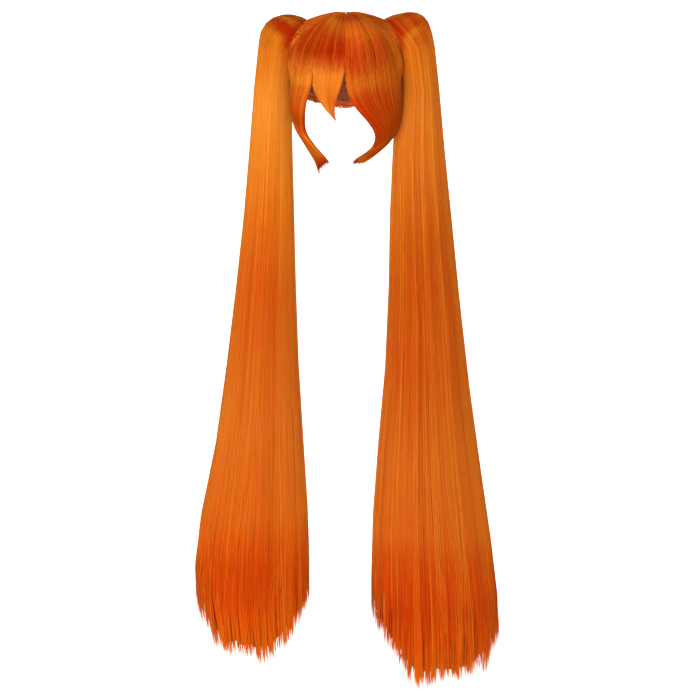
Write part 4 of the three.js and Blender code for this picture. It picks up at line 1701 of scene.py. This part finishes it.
# Along the tail, the deep red on the dome's top and near 0.85 is partly the fibre's own deeper red and
# partly painted shade, and the lighter colour near 0.125 and from 0.6 to 0.75 is a painted highlight where
# gloss falls.
# The lighter ends are painted light on wisps that lie in shade.
TAIL_FIBRE = FibreFinish(
    "modacrylic fibre, tail",
    (
        (0.0, "#880400"), (0.045, "#901002"), (0.075, "#98280E"), (0.09, "#9E3816"), (0.125, "#A6471C"),
        (0.2, "#9E3814"), (0.27, "#9B2608"), (0.385, "#9A2906"), (0.5, "#9E3A0C"), (0.6, "#A44312"),
        (0.75, "#A73C0C"), (0.79, "#A42A04"), (0.83, "#9E0B00"), (0.865, "#9E0600"), (0.9, "#A61600"),
        (0.94, "#B23200"), (1.0, "#BA4608"),
    ),
)
# A darker copy of the tail's colours, with less gloss, for the right tail, which the lights at the left
# leave dimmer: painted shade.
PAINTED_SHADE_TAIL_FIBRE = FibreFinish(
    "modacrylic fibre, shaded tail",
    (
        (0.0, "#8C0400"), (0.05, "#961A06"), (0.1, "#901C0E"), (0.14, "#962814"), (0.2, "#94220E"),
        (0.32, "#8E2004"), (0.5, "#962E08"), (0.64, "#A04010"), (0.75, "#A43C0E"), (0.79, "#9F2704"),
        (0.83, "#A01402"), (0.88, "#980000"), (0.92, "#A41A00"), (0.96, "#B03404"), (1.0, "#B84A08"),
    ),
    shine=0.063,
)


def rows(*values: tuple[float, ...]) -> tuple[LockRow, ...]:
    """Rows of a front lock, each drop, start, stop, girth and thickness."""
    return tuple(LockRow(*row) for row in values)


SIDE_LOCK_LEFT = rows(
    (0.05, -82, -39, 1, 4), (6.5, -88, -39, 1, 6.5), (22, -92, -39, 1, 7.5), (50, -90, -39.3, 1, 8.5),
    (75, -86, -39.3, 1.01, 8.5), (98, -83, -40.5, 1.03, 8.5), (125, -84, -47.5, 1.05, 8.5),
    (152, -84, -52, 1.03, 8.5), (174, -79, -54, 0.97, 8), (193, -70, -46.5, 0.87, 7),
    (212, -63, -32, 0.77, 6), (226, -58, -25.5, 0.71, 4.5), (251, -51, -30, 0.66, 3),
)
FRINGE = rows(
    (0.05, -39, -1, 1, 4), (6.5, -39, -1, 1, 6.5), (22, -39, -1, 1, 7.5), (50, -38.7, -1.3, 1, 8.5),
    (75, -38.7, -1.6, 1, 8.5), (98, -38.5, -5.5, 1, 8), (114, -33, -9.5, 1, 7.5), (131, -24, -12.3, 1, 6),
    (141, -17, -12.3, 1, 4.5), (150, -11.8, -10.8, 1, 2),
)
SIDE_LOCK_RIGHT = rows(
    (0.05, -1, 80, 1, 4), (6.5, -1, 84, 1, 6.5), (22, -1, 86, 1, 7.5), (50, -0.7, 84, 1, 8.5),
    (75, -0.5, 82, 1.01, 8.5), (102, 1.5, 82, 1.03, 8.5), (128, 10, 83, 1.04, 9), (150, 23, 83, 1.03, 9.5),
    (175, 36, 80, 0.97, 10), (193, 38, 69, 0.87, 9), (204, 30, 60, 0.79, 7), (215, 15, 47, 0.71, 5),
    (225, 9, 28, 0.66, 2.5),
)
GATHER_CORNERS = tuple(
    EdgeCorner(*corner) for corner in ((179.5, 4), (179.5, 119), (150, 115.5), (110, 104), (77, 96), (77, 4))
)
LEFT_SECTIONS = tuple(
    TailSection(*row)
    for row in (
        (2.5, 82, 103, 21, 10), (-2, 68, 117, 21, 22), (-8, 60, 126, 21, 29), (-22, 65, 136, 20, 34),
        (-50, 80, 141, 17, 36), (-100, 88, 147, 11, 37), (-180, 88, 154, 1, 38), (-350, 85, 171, -15, 42),
        (-530, 82, 195, -22, 47), (-700, 74, 220, -27, 53), (-860, 66, 254, -29, 58),
        (-970, 65, 265, -30, 60), (-1110, 64, 252, -30, 58),
    )
)
RIGHT_SECTIONS = tuple(
    TailSection(*row)
    for row in (
        (6, 92, 113, 21, 10), (1.5, 74, 123, 21, 22), (-5, 61, 130, 21, 29), (-22, 65, 137, 20, 34),
        (-50, 79, 143, 17, 36), (-100, 88, 149, 11, 38), (-150, 84, 154, 5, 39), (-220, 75, 161, -4, 41),
        (-350, 72, 176, -15, 45), (-530, 69, 197, -22, 51), (-700, 56, 221, -27, 57),
        (-860, 46, 247, -29, 62), (-1000, 44, 266, -30, 65), (-1150, 42, 275, -30, 64),
    )
)
LEFT_ENDS = tuple(
    CutEnd(*row)
    for row in ((0, -1022), (0.15, -1066), (0.36, -1104), (0.55, -1092), (0.8, -1088), (1, -1036))
)
RIGHT_ENDS = tuple(
    CutEnd(*row)
    for row in ((0, -1040), (0.12, -1090), (0.33, -1142), (0.57, -1146), (0.83, -1130), (1, -1090))
)


PIECES: tuple[HairPiece, ...] = (
    # The left lock's outer edge turns deeper red towards its tip: painted shade on its turned-under
    # underside.
    FrontLock(
        node="side_lock_left", seed=11, finish=LEFT_FIBRE, rows=SIDE_LOCK_LEFT, cut=(1.0, 0.92),
        core_end=0.96, tip=0.2, uneven=0.07, shade=(0.6, 0.1), free=(0.0, 1.0),
    ),
    FrontLock(node="fringe", seed=12, finish=FRONT_FIBRE, rows=FRINGE),
    # The right lock goes from a little darker at its inner edge to lighter at its outer edge, painted light
    # where the lights at the left leave that edge dim.
    FrontLock(
        node="side_lock_right", seed=13, finish=PAINTED_SHADE_FRONT_FIBRE, rows=SIDE_LOCK_RIGHT, strands=680, clumps=40,
        core_end=0.95, tip=0.25, uneven=0.07, deep=0.28, shade=(0.1, -0.35), shaded=(0.0, 0.05),
        free=(-1.0, 0.0),
    ),
    GatheredHair(node="gathered_hair_left", seed=21, finish=SIDE_FIBRE, side=-1, corners=GATHER_CORNERS),
    GatheredHair(node="gathered_hair_right", seed=22, finish=SIDE_FIBRE, side=1, corners=GATHER_CORNERS),
    Tail(
        node="tail_left", seed=31, finish=TAIL_FIBRE, side=-1, sections=LEFT_SECTIONS, ends=LEFT_ENDS,
    ),
    Tail(
        node="tail_right", seed=32, finish=PAINTED_SHADE_TAIL_FIBRE, side=1, sections=RIGHT_SECTIONS,
        ends=RIGHT_ENDS,
    ),
)


def main() -> None:
    """Builds the studio and the wig's pieces in order."""
    logging.basicConfig(level=logging.INFO, format="%(name)s: %(message)s")
    Studio().build()
    sweep = StrandSweep()
    Cap().build(sweep)
    dress_clips()
    for piece in PIECES:
        piece.build(sweep)


if __name__ == "__main__":
    main()
